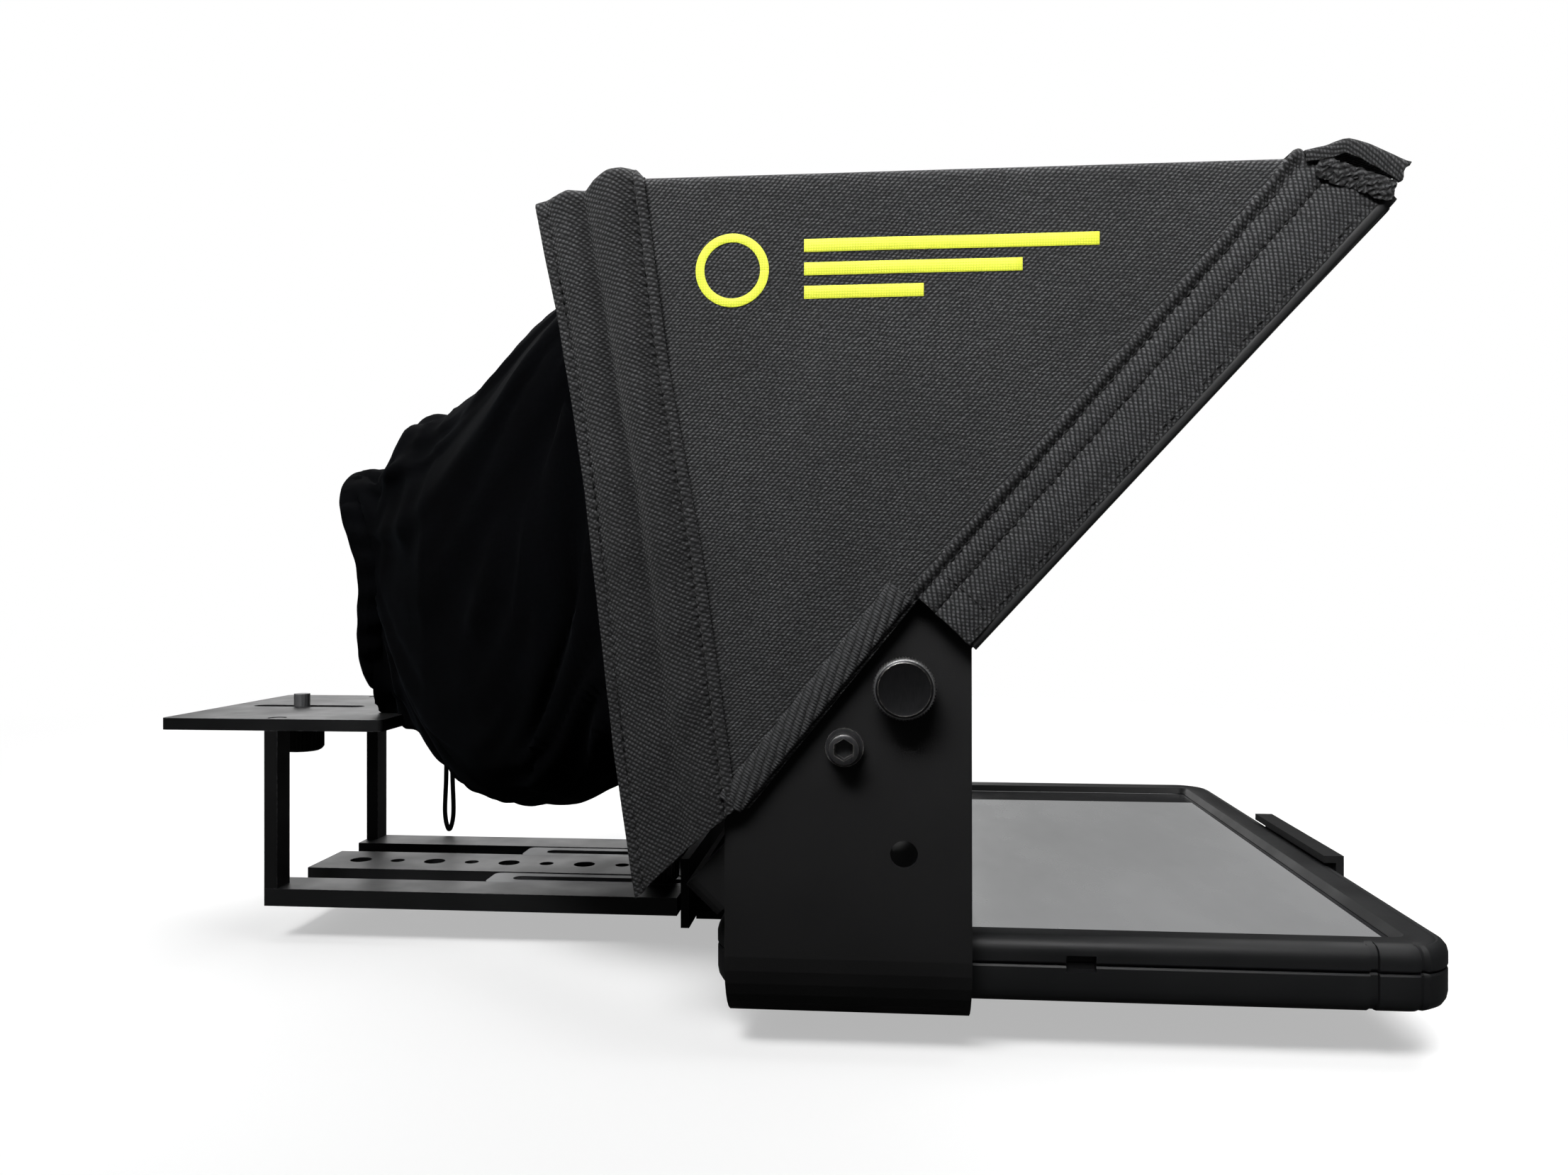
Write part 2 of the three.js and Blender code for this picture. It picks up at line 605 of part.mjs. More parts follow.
// ---- Pivot screws and tilt thumbscrews, through the cradle's sides into the glass frame ----
const WASHER_IN = CRADLE_HALF_WIDTH + GAP;
const WASHER_OUT = WASHER_IN + 1;
const SHANK_TIP = FRAME_INNER_SIDE + 0.6;

// A piece turned about the Y axis, drawn for the far side and turned round for the near one.
function turnedY(profile, x, z, side, segments = 20) {
  const points = profile.map(([r, y]) => new THREE.Vector2(r, y));
  const piece = new THREE.LatheGeometry(points, segments);
  return (side > 0 ? piece : piece.rotateX(Math.PI)).translate(x, 0, z);
}

function pivotScrew(side) {
  const head = 4.25;
  const seat = WASHER_OUT + 0.1;
  const top = seat + 5;
  const profile = [[0, SHANK_TIP], [STUD, SHANK_TIP], [STUD, seat], [head, seat]];
  profile.push([head, top - 0.4], [head - 0.4, top], [0, top]);
  const socket = new THREE.CylinderGeometry(2.4, 2.4, 5, 6).translate(PIVOT_X, side * top, PIVOT_Z);
  return cut(turnedY(profile, PIVOT_X, PIVOT_Z, side), [socket]);
}

function thumbscrew(side) {
  const seat = CRADLE_HALF_WIDTH + 0.5;
  const top = seat + THUMBSCREW_HEAD;
  const x = PIVOT_X + THUMBSCREW_U * Math.cos(GLASS_TILT) - THUMBSCREW_W * Math.sin(GLASS_TILT);
  const z = PIVOT_Z + THUMBSCREW_U * Math.sin(GLASS_TILT) + THUMBSCREW_W * Math.cos(GLASS_TILT);
  const profile = [[0, SHANK_TIP], [STUD, SHANK_TIP], [STUD, seat], [THUMBSCREW_RADIUS - 0.5, seat]];
  profile.push([THUMBSCREW_RADIUS, seat + 0.5], [THUMBSCREW_RADIUS, top - 0.7]);
  profile.push([THUMBSCREW_RADIUS - 0.7, top], [0, top]);
  return turnedY(profile, x, z, side, 32);
}

for (const [name, side] of SIDES) {
  const washer = [[STUD_HOLE, WASHER_IN], [5.25, WASHER_IN], [5.25, WASHER_OUT], [STUD_HOLE, WASHER_OUT]];
  washer.push(washer[0]);
  add(`pivot_washer_${name}`, turnedY(washer, PIVOT_X, PIVOT_Z, side), blackSteel);
  add(`pivot_screw_${name}`, pivotScrew(side), blackSteel);
  add(`tilt_thumbscrew_${name}`, thumbscrew(side), blackSteel);
}

// ---- Tablet tray and its sliding clamp ----
const TRAY_TOP = TRAY_BOTTOM + TRAY_THICKNESS;
const TRAY_LIP_FRONT = TABLET_REAR - 0.6;
const TRAY_REAR = TRAY_LIP_FRONT - 2;

function tabletTray() {
  const half = TRAY_HALF_WIDTH;
  const outline = roundedRectangle(TRAY_REAR, TRAY_FRONT, -half, half, 1.5);
  const { rear, front, inner, outer, corner } = TRAY_WINDOW;
  for (const [, side] of SIDES) {
    outline.holes.push(roundedRectangle(rear, front, ...span(side, inner, outer), corner));
  }
  outline.holes.push(circle(CLAMP_LOCK_X, 0, STUD_HOLE), circle(CLAMP_GUIDE_X, 0, SCREW_HOLE));
  const lip = block(TRAY_REAR, TRAY_LIP_FRONT, -half + 2, half - 2, TRAY_BOTTOM + 1, TRAY_LIP_TOP);
  const holes = [];
  for (const [, side] of SIDES) {
    for (const x of TRAY_SCREW_PLACES) {
      holes.push(countersunkHole(x, side * TRAY_SCREW_Y, TRAY_TOP, TRAY_BOTTOM));
    }
  }
  return cut(joined([prismZ(outline, TRAY_BOTTOM, TRAY_TOP), lip]), holes);
}
add("tablet_tray", tabletTray(), blackPowderCoat);

for (const [name, side] of SIDES) {
  TRAY_SCREW_PLACES.forEach((x, i) => {
    const screw = countersunkScrew(x, side * TRAY_SCREW_Y, TRAY_TOP - GAP, CRADLE_BOTTOM + 0.5);
    add(`tray_screw_${name}_${i === 0 ? "rear" : "front"}`, screw, blackSteel);
  });
}

const PAD_BOTTOM = TRAY_TOP + 0.2;
const PAD_TOP = TABLET_BOTTOM - 0.2;
const PAD_HALF_WIDTH = TRAY_HALF_WIDTH - 4;
for (const [name, x] of PAD_PLACES) {
  const pad = roundedRectangle(x, x + PAD_LENGTH, -PAD_HALF_WIDTH, PAD_HALF_WIDTH, 2);
  add(`tray_pad_${name}`, prismZ(pad, PAD_BOTTOM, PAD_TOP), blackRubber);
}

const CLAMP_TOP = CLAMP_BOTTOM + CLAMP_THICKNESS;
function clampSlider() {
  const hookFront = CLAMP_HOOK_X + 2.6;
  const hookTop = TABLET_TOP + 3.4;
  const narrow = 16;
  const wide = CLAMP_HALF_WIDTH;
  const widenX = TRAY_FRONT + 6;
  const outline = polygon([
    [CLAMP_REAR, -narrow],
    [widenX, -narrow],
    [widenX + 20, -wide],
    [hookFront, -wide],
    [hookFront, wide],
    [widenX + 20, wide],
    [widenX, narrow],
    [CLAMP_REAR, narrow],
  ]);
  outline.holes.push(slot(CLAMP_SLOT_REAR, CLAMP_SLOT_FRONT, 0, ARM_SLOT_HALF_WIDTH));
  const hook = block(CLAMP_HOOK_X, hookFront, -wide, wide, CLAMP_BOTTOM + 1, hookTop);
  const lip = block(CLAMP_HOOK_X - 4, hookFront, -wide, wide, hookTop - 2.4, hookTop);
  return joined([prismZ(outline, CLAMP_BOTTOM, CLAMP_TOP), hook, lip]);
}
add("clamp_slider", clampSlider(), blackPowderCoat);

const CLAMP_KNOB_TOP = CLAMP_BOTTOM - GAP;
const CLAMP_KNOB_BOTTOM = CLAMP_KNOB_TOP - CLAMP_KNOB_HEIGHT;
const STUD_TOP = TRAY_TOP - 0.2;
const clampKnob = prismZ(knurled(CLAMP_KNOB_RADIUS, 16, STUD_HOLE), CLAMP_KNOB_BOTTOM, CLAMP_KNOB_TOP);
add("clamp_lock_knob", clampKnob.translate(CLAMP_LOCK_X, 0, 0), blackPowderCoat);
add("clamp_lock_stud", rodZ(STUD, CLAMP_LOCK_X, 0, CLAMP_KNOB_BOTTOM + 1, STUD_TOP), blackSteel);

function guideScrew() {
  const seat = CLAMP_BOTTOM - GAP;
  const head = 4;
  const profile = [[0, seat - 2], [head, seat - 2], [head, seat]];
  profile.push([SCREW_SHANK, seat], [SCREW_SHANK, STUD_TOP], [0, STUD_TOP]);
  return turnedZ(profile, CLAMP_GUIDE_X, 0, 16);
}
add("clamp_guide_screw", guideScrew(), blackSteel);

// ---- Tablet in its two-shell case ----
function caseBody() {
  const edge = 4;
  const half = TABLET_HALF_WIDTH;
  const outline = roundedRectangle(TABLET_REAR, TABLET_FRONT, -half, half, TABLET_CORNER);
  const body = new THREE.ExtrudeGeometry(outline, {
    depth: TABLET_TOP - TABLET_BOTTOM - 2 * edge,
    curveSegments: 3,
    bevelEnabled: true,
    bevelSize: edge,
    bevelThickness: edge,
    bevelOffset: -edge,
    bevelSegments: 2,
  });
  return body.translate(0, 0, TABLET_BOTTOM + edge);
}

const FAR = 400; // beyond the case on every side
const pocket = block(
  SLAB_REAR - GAP, SLAB_FRONT + GAP, -SLAB_HALF_WIDTH - GAP, SLAB_HALF_WIDTH + GAP,
  SLAB_BOTTOM - GAP, SCREEN_TOP + GAP,
);
const portNotch = block(
  PORT_NOTCH.rear, PORT_NOTCH.front, -TABLET_HALF_WIDTH - 1, -TABLET_HALF_WIDTH + PORT_NOTCH.depth,
  PORT_NOTCH.bottom, PORT_NOTCH.top,
);
const cornerGrooves = CORNER_GROOVES.map((x) => {
  const [x0, x1] = [x - GROOVE_HALF_WIDTH, x + GROOVE_HALF_WIDTH];
  const y1 = -TABLET_HALF_WIDTH + GROOVE_DEPTH;
  return block(x0, x1, -TABLET_HALF_WIDTH - 1, y1, TABLET_BOTTOM - 1, TABLET_TOP);
});

function caseBack() {
  const upper = block(-FAR, FAR, -FAR, FAR, TABLET_PARTING, FAR);
  return cut(caseBody(), [upper, pocket, portNotch, ...cornerGrooves]);
}

function caseFront() {
  const lower = block(-FAR, FAR, -FAR, FAR, -FAR, TABLET_PARTING + GAP);
  const [rear, front, half] = [SLAB_REAR + BEZEL_REAR, SLAB_FRONT - BEZEL, SLAB_HALF_WIDTH - BEZEL];
  const window = prismZ(roundedRectangle(rear, front, -half, half, 3), SCREEN_TOP, TABLET_TOP + 1);
  return cut(caseBody(), [lower, pocket, window, portNotch, ...cornerGrooves]);
}
add("tablet_case_back", caseBack(), casePlastic);
add("tablet_case_front", caseFront(), casePlastic);
const slabOutline = roundedRectangle(SLAB_REAR, SLAB_FRONT, -SLAB_HALF_WIDTH, SLAB_HALF_WIDTH, 8);
add("tablet_body", prismZ(slabOutline, SLAB_BOTTOM, SLAB_TOP), tabletMetal);
const screenSide = SLAB_HALF_WIDTH - SCREEN_EDGE;
const screenOutline = roundedRectangle(
  SLAB_REAR + SCREEN_EDGE, SLAB_FRONT - SCREEN_EDGE, -screenSide, screenSide, 7.5,
);
add("tablet_screen", prismZ(screenOutline, SLAB_TOP + 0.1, SCREEN_TOP), screenGlass);

// ---- Fabric hood: two side panels outside the cradle, and a top panel between them ----
function hoodSide(side) {
  const outline = polygon([
    [82, 31.5],
    [110, 56.5],
    [156, 115],
    [173, 99],
    [282, 216],
    [280, 224],
    [268, HOOD_TOP],
    [70, HOOD_TOP],
    [54, 222],
    [60, 195],
    [68, 143],
    [76, 72],
  ]);
  const [y0, y1] = span(side, HOOD_INSIDE, HOOD_INSIDE + HOOD_CLOTH);
  return prismY(outline, y0, y1);
}
add("hood_side_near", hoodSide(-1), hoodCloth);
add("hood_side_far", hoodSide(1), hoodCloth);
const HOOD_TOP_SIDE = HOOD_INSIDE - GAP;
add(
  "hood_top",
  block(62, 272, -HOOD_TOP_SIDE, HOOD_TOP_SIDE, HOOD_TOP - HOOD_CLOTH, HOOD_TOP),
  hoodCloth,
);

// ---- Lens shroud: a tapering cloth tube from the hood's rear opening to the lens collar ----
const SHROUD_STATIONS = [
  // x, bottom, top, half width, squareness of the section
  [COLLAR_X + COLLAR_LENGTH + GAP, 72, 162, 45, 2],
  [-31, 70, 167, 56, 2.1],
  [-20, 56, 180, 72, 2.3],
  [-7, 50, 189, 89, 2.4],
  [18, 43, 205, 109, 2.8],
  [42, 44, 217, 126, 3.8],
  [60, 50, 219, 133, 5],
  [74, 52, 220, 137, 8],
];
const SHROUD_SIDES = 28;

function shroudRing([x, bottom, top, halfWidth, squareness], inset) {
  const ring = [];
  for (let i = 0; i < SHROUD_SIDES; i += 1) {
    const angle = (i / SHROUD_SIDES) * Math.PI * 2;
    const c = Math.cos(angle);
    const s = Math.sin(angle);
    const round = 2 / squareness;
    const y = (halfWidth - inset) * Math.sign(c) * Math.abs(c) ** round;
    const halfHeight = (top - bottom) / 2 - inset;
    const z = (top + bottom) / 2 + halfHeight * Math.sign(s) * Math.abs(s) ** round;
    ring.push(new THREE.Vector3(x, y, z));
  }
  return ring;
}

// A closed skin through rings of points, where each ring joins the next and the last the first.
function ringSkin(rings) {
  const positions = rings.flat().flatMap((p) => [p.x, p.y, p.z]);
  const index = [];
  for (let r = 0; r < rings.length; r += 1) {
    const next = (r + 1) % rings.length;
    for (let i = 0; i < SHROUD_SIDES; i += 1) {
      const j = (i + 1) % SHROUD_SIDES;
      const [a, b] = [r * SHROUD_SIDES + i, r * SHROUD_SIDES + j];
      const [c, d] = [next * SHROUD_SIDES + i, next * SHROUD_SIDES + j];
      index.push(a, b, d, a, d, c);
    }
  }
  const geometry = new THREE.BufferGeometry();
  geometry.setAttribute("position", new THREE.Float32BufferAttribute(positions, 3));
  geometry.setIndex(index);
  return geometry;
}

const outerRings = SHROUD_STATIONS.map((station) => shroudRing(station, 0));
const innerRings = SHROUD_STATIONS.map((station) => shroudRing(station, SHROUD_CLOTH)).reverse();
add("lens_shroud", ringSkin([...outerRings, ...innerRings]), shroudVelvet);

// ---- Collar round the lens, with its drawstring and cord lock ----
const collarInner = COLLAR_RADIUS - 2.6;
const collarEnd = COLLAR_X + COLLAR_LENGTH;
const collar = prismX(circle(0, LENS_AXIS_Z, COLLAR_RADIUS), COLLAR_X, collarEnd, 4);
const collarBore = prismX(circle(0, LENS_AXIS_Z, collarInner), COLLAR_X - 1, collarEnd + 1, 4);
add("shroud_collar", cut(collar, [collarBore]), shroudVelvet);

const lock = CORD_LOCK;
const collarMiddle = COLLAR_X + COLLAR_LENGTH / 2;
const cordPath = new THREE.CatmullRomCurve3([
  new THREE.Vector3(collarMiddle, 39, 88),
  new THREE.Vector3(lock.x - 3, 47.5, 76),
  new THREE.Vector3(lock.x - 1.3, lock.y, lock.z + 14),
  new THREE.Vector3(lock.x - 1.1, lock.y, lock.z + 2),
  new THREE.Vector3(lock.x - 2, lock.y, 30),
  new THREE.Vector3(lock.x - 2.6, lock.y, 14),
  new THREE.Vector3(lock.x, lock.y, 7.5),
  new THREE.Vector3(lock.x + 2.6, lock.y, 14),
  new THREE.Vector3(lock.x + 2, lock.y, 30),
  new THREE.Vector3(lock.x + 1.1, lock.y, lock.z + 2),
  new THREE.Vector3(lock.x + 1.3, lock.y, lock.z + 14),
  new THREE.Vector3(lock.x - 1, 51, 80),
  new THREE.Vector3(collarMiddle + 2, 43.5, 94),
]);
const cordSection = new THREE.Shape().absarc(0, 0, CORD_RADIUS, 0, Math.PI * 2);
const cord = new THREE.ExtrudeGeometry(cordSection, {
  steps: 44,
  extrudePath: cordPath,
  curveSegments: 3,
  bevelEnabled: false,
});
add("drawstring", cord, cordMaterial);
add("cord_lock", ringZ(2.6, 5, lock.x, lock.y, lock.z, lock.z + 12, 12), casePlastic);

export default teleprompter;
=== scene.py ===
"""The looks of a camera teleprompter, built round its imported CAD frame.

Lengths in this script are millimetres, measured from the middle of the base plate's underside:
X forwards, Y to the far side, Z up. at() turns them into Blender's metres in the frame.
"""

import math
import random

import bmesh
import bpy
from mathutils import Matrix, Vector, noise

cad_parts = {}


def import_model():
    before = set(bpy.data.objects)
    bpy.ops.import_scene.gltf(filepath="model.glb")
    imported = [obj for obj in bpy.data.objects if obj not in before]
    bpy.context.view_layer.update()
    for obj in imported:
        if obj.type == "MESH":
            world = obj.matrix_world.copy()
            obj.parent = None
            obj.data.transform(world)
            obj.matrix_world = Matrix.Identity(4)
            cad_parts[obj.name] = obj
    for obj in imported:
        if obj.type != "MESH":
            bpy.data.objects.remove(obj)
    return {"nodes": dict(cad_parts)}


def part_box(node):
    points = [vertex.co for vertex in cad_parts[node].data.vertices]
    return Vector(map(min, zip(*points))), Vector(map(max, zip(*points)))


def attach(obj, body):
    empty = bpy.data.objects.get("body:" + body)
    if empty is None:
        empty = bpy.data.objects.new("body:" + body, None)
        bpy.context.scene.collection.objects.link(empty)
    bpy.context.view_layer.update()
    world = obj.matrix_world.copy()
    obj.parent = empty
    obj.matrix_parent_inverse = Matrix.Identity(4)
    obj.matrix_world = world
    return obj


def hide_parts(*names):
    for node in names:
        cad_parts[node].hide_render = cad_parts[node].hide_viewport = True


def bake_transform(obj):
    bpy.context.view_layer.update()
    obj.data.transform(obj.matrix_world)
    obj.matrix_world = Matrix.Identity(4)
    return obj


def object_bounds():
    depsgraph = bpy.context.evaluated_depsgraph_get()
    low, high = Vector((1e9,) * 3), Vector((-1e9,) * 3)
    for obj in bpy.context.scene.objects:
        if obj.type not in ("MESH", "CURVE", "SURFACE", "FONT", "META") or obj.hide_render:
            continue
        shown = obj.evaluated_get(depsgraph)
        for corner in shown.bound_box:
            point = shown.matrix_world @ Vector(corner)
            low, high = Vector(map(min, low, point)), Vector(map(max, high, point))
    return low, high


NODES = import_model()["nodes"]
CAD_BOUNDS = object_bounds()
DRAWS = random.Random(7)

MM = 0.001
PLATE_LOW, PLATE_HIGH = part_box("base_plate")
PLATE_MIDDLE = (PLATE_LOW.x + PLATE_HIGH.x) / 2 / MM
SIDES = (("near", -1), ("far", 1))


def at(x, y, z):
    """A point in millimetres from the base plate's middle, as metres in the frame."""
    return Vector(((x + PLATE_MIDDLE) * MM, y * MM, z * MM))


def box_mm(node):
    """A CAD node's lowest and highest corners, in this script's millimetres."""
    low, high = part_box(node)
    shift = Vector((PLATE_MIDDLE, 0, 0))
    return low / MM - shift, high / MM - shift


def lerp(a, b, t):
    return a + (b - a) * t


def smooth(t):
    """0 below 0, 1 above 1, and an easy curve between."""
    t = min(max(t, 0.0), 1.0)
    return t * t * (3 - 2 * t)


def bump(x, middle, width):
    """A soft hill of height 1 at the middle."""
    return math.exp(-(((x - middle) / width) ** 2))


def along(points, key):
    """Linear reading of [(key, value), ...], sorted by key."""
    for (k0, v0), (k1, v1) in zip(points, points[1:]):
        if key <= k1:
            return lerp(v0, v1, max(0.0, (key - k0) / (k1 - k0)))
    return points[-1][1]


def curve_between(a, b, c, d, t):
    """A smooth curve at t of the way from b to c, where a comes before them and d after."""
    start, end = (c - a) / 2, (d - b) / 2
    first = (2 * t**3 - 3 * t**2 + 1) * b + (t**3 - 2 * t**2 + t) * start
    return first + (3 * t**2 - 2 * t**3) * c + (t**3 - t**2) * end


def scaled(color, factor):
    return tuple(c * factor for c in color)


# ---------------------------------------------------------------- materials

NOISE_RANGE = (0.3, 0.7)  # where most of a noise texture's values lie
SHADER_INPUTS = {
    "color": "Base Color",
    "roughness": "Roughness",
    "metallic": "Metallic",
    "specular": "Specular IOR Level",
    "sheen": "Sheen Weight",
    "sheen_roughness": "Sheen Roughness",
    "sheen_tint": "Sheen Tint",
    "glow": "Emission Strength",
    "glow_color": "Emission Color",
}


class Finish:
    """A node material with a Principled shader, and short ways to add nodes to it."""

    def __init__(self, name, color, roughness, metallic=0.0):
        self.material = bpy.data.materials.new(name)
        self.material.use_nodes = True
        self.tree = self.material.node_tree
        self.shader = self.tree.nodes["Principled BSDF"]
        self.surface(color=(*color, 1), roughness=roughness, metallic=metallic)

    def put(self, node, name, value):
        """Links a socket to a node's input, or sets the input to a plain value."""
        if isinstance(value, bpy.types.NodeSocket):
            self.tree.links.new(value, node.inputs[name])
        else:
            node.inputs[name].default_value = value

    def surface(self, **values):
        """Sets the shader's inputs, by their names in SHADER_INPUTS."""
        for key, value in values.items():
            self.put(self.shader, SHADER_INPUTS[key], value)

    def add(self, kind, inputs=(), **settings):
        node = self.tree.nodes.new("ShaderNode" + kind)
        for key, value in settings.items():
            setattr(node, key, value)
        for key, value in dict(inputs).items():
            self.put(node, key, value)
        return node

    def math(self, operation, a, b=0.0, c=0.0):
        node = self.add("Math", {0: a, 1: b, 2: c}, operation=operation)
        return node.outputs[0]

    def times(self, *factors):
        """The product of several values."""
        product = factors[0]
        for factor in factors[1:]:
            product = self.math("MULTIPLY", product, factor)
        return product

    def place(self, kind="Object", scale=(1, 1, 1)):
        """Coordinates in millimetres: the object's own, or with UV the map along the cloth."""
        source = self.add("TexCoord").outputs[kind]
        factor = 1 / MM if kind == "Object" else 1.0
        inputs = {"Vector": source, "Scale": [factor * s for s in scale]}
        return self.add("Mapping", inputs).outputs[0]

    def axes(self, where):
        """The three coordinates of a place, one by one."""
        return self.add("SeparateXYZ", {0: where}).outputs[:]

    def noise(self, where, scale, detail=3.0, roughness=0.5):
        inputs = {"Vector": where, "Scale": scale, "Detail": detail, "Roughness": roughness}
        return self.add("TexNoise", inputs).outputs["Fac"]

    def spread(self, value, low, high, to_low=0.0, to_high=1.0):
        """A value that runs from low to high, stretched to run between two others."""
        inputs = {"Value": value, "From Min": low, "From Max": high, "To Min": to_low, "To Max": to_high}
        return self.add("MapRange", inputs).outputs[0]

    def mottled(self, pattern, low, high):
        """A noise, stretched so that most of it runs from low to high."""
        return self.spread(pattern, *NOISE_RANGE, low, high)

    def ridges(self, value, rate):
        """Round ridges with sharp grooves between them."""
        return self.math("ABSOLUTE", self.math("SINE", self.times(value, rate)))

    def tint(self, value, dark, light):
        """Colours that run from dark to light as value goes from 0 to 1."""
        mix = self.add("Mix", {0: value}, data_type="RGBA")
        for socket, color in ((6, dark), (7, light)):
            self.put(mix, socket, (*color, 1) if isinstance(color, tuple) else color)
        return mix.outputs[2]

    def shades(self, value, color, low, high):
        """One colour at low to high times its own brightness."""
        return self.tint(value, scaled(color, low), scaled(color, high))

    def relief(self, height, distance, strength):
        """Bumps up to a distance in millimetres, for the light only."""
        inputs = {"Height": height, "Distance": distance * MM, "Strength": strength}
        self.put(self.shader, "Normal", self.add("Bump", inputs).outputs[0])

    def edge_mask(self, radius):
        """Near 1 on sharp outer edges, 0 on flat faces."""
        rounded = self.add("Bevel", {"Radius": radius * MM}, samples=4).outputs[0]
        true_normal = self.add("NewGeometry").outputs["Normal"]
        dot = self.add("VectorMath", {0: rounded, 1: true_normal}, operation="DOT_PRODUCT")
        return self.spread(dot.outputs["Value"], 0.985, 0.8)

    def mix_shaders(self, share, first, second):
        """Makes the material a mix of two shaders' outputs."""
        mix = self.add("MixShader", {0: share, 1: first, 2: second})
        self.tree.links.new(mix.outputs[0], self.tree.nodes["Material Output"].inputs[0])


def powder_coat(name, color, roughness):
    f = Finish(name, color, roughness)
    where = f.place()
    clouds = f.noise(where, 0.03, 4, 0.6)
    f.surface(
        color=f.shades(clouds, color, 0.8, 1.25),
        roughness=f.mottled(clouds, roughness - 0.08, roughness + 0.08),
        specular=0.2,
    )
    f.relief(f.noise(where, 2.4, 4, 0.6), 0.05, 0.55)
    return f.material


def anodised(name, color, roughness):
    """Brushed and anodised aluminium, scuffed to bare metal here and there on its edges."""
    f = Finish(name, color, roughness, 0.55)
    lines = f.noise(f.place(scale=(0.05, 1.2, 1.2)), 4.0, 2, 0.7)
    clouds = f.noise(f.place(), 0.05, 3)
    scuffs = f.times(f.edge_mask(0.5), f.spread(f.noise(f.place(), 0.6, 4), 0.42, 0.62), 0.5)
    f.surface(
        color=f.tint(scuffs, f.shades(lines, color, 0.75, 1.3), (0.16, 0.16, 0.17)),
        roughness=f.mottled(clouds, roughness - 0.06, roughness + 0.08),
    )
    f.relief(lines, 0.012, 0.5)
    return f.material


def black_oxide(name, color, worn, roughness=0.38):
    """Blackened steel that shines through where edges are handled."""
    f = Finish(name, color, roughness, 0.85)
    scratches = f.noise(f.place(scale=(1, 1, 0.12)), 3.0, 5, 0.7)
    wear = f.times(f.edge_mask(0.45), f.spread(f.noise(f.place(), 0.7, 4), 0.3, 0.6))
    f.surface(
        color=f.tint(wear, f.shades(scratches, color, 0.7, 1.8), worn),
        roughness=f.mottled(scratches, roughness - 0.1, roughness + 0.12),
    )
    f.relief(scratches, 0.01, 0.5)
    return f.material


def moulded(name, color, roughness, grain=1.6, depth=0.04):
    """Plastic or rubber with fine pores, or anything else too plain to show a pattern."""
    f = Finish(name, color, roughness)
    where = f.place()
    smudges = f.noise(where, 0.035, 4, 0.6)
    f.surface(
        color=f.shades(smudges, color, 0.8, 1.3),
        roughness=f.mottled(smudges, roughness - 0.07, roughness + 0.07),
        specular=0.27,
    )
    f.relief(f.noise(where, grain, 3, 0.6), depth, 0.5)
    return f.material


def twilled(name, color, ribs, threads, relief_mm=0.22):
    """Twill cloth: slanting ribs broken into short floats of thread.

    ribs and threads each give cycles per millimetre along and across the cloth.
    """
    f = Finish(name, color, 0.8)
    where = f.place("UV")
    u, v, _ = f.axes(where)
    wobble = f.times(f.noise(where, 0.06, 2), 1.5)

    def wave_of(rates):
        turns = f.math("MULTIPLY_ADD", u, rates[0], f.math("MULTIPLY_ADD", v, rates[1], wobble))
        return f.spread(f.math("SINE", f.times(turns, 2 * math.pi)), -1, 1)

    height = f.times(wave_of(ribs), f.spread(wave_of(threads), 0, 1, 0.25, 1))
    streaks = f.spread(f.noise(f.place("UV", (0.18, 1.2, 1)), 1.0, 2, 0.6), 0.25, 0.75, 0.6, 1.4)
    grain = f.spread(f.noise(where, 1.15, 3, 0.75), 0.32, 0.68, 0.15, 1.85)
    clouds = f.mottled(f.noise(where, 0.03, 4), 0.85, 1.15)
    shade = f.times(height, streaks, f.times(grain, clouds))
    f.surface(
        color=f.shades(shade, color, 0.3, 3.6),
        roughness=f.spread(shade, 0.0, 1.0, 0.95, 0.62),
        specular=0.22,
        sheen=0.05,
        sheen_roughness=0.5,
    )
    f.relief(height, relief_mm, 0.85)
    return f.material


def ribbed(name, color, rib, slant, weft=0.8):
    """Webbing with raised ribs that run slantwise along it, crossed by fine weft threads."""
    f = Finish(name, color, 0.8)
    where = f.place("UV")
    u, v, _ = f.axes(where)
    ribs = f.ridges(f.math("MULTIPLY_ADD", v, -slant, u), math.pi / rib)
    threads = f.ridges(v, math.pi / weft)
    height = f.times(f.spread(ribs, 0, 1, 0.25, 1), f.spread(threads, 0, 1, 0.2, 1))
    shade = f.times(height, f.mottled(f.noise(where, 1.6, 3), 0.7, 1.3))
    f.surface(color=f.shades(shade, color, 0.04, 2.3), specular=0.22)
    f.relief(height, 0.25, 0.9)
    return f.material


def velvet(name, color):
    f = Finish(name, color, 1.0)
    where = f.place()
    nap = f.noise(where, 0.05, 4, 0.6)
    f.surface(
        color=f.shades(nap, color, 0.6, 1.9),
        specular=0.03,
        sheen=f.spread(nap, 0.35, 0.65, 0.003, 0.014),
        sheen_roughness=0.32,
        sheen_tint=(0.42, 0.5, 0.62, 1),
    )
    f.relief(f.noise(where, 3.0, 2, 0.7), 0.12, 0.5)
    return f.material


SHADED_UP_TO = 163.0  # behind this X the hood keeps the display dark
OPEN_FROM = 177.0  # ahead of this X the display is open to the room
ROOM_GLOW = 0.25  # brightness of the pale room as the display shows it


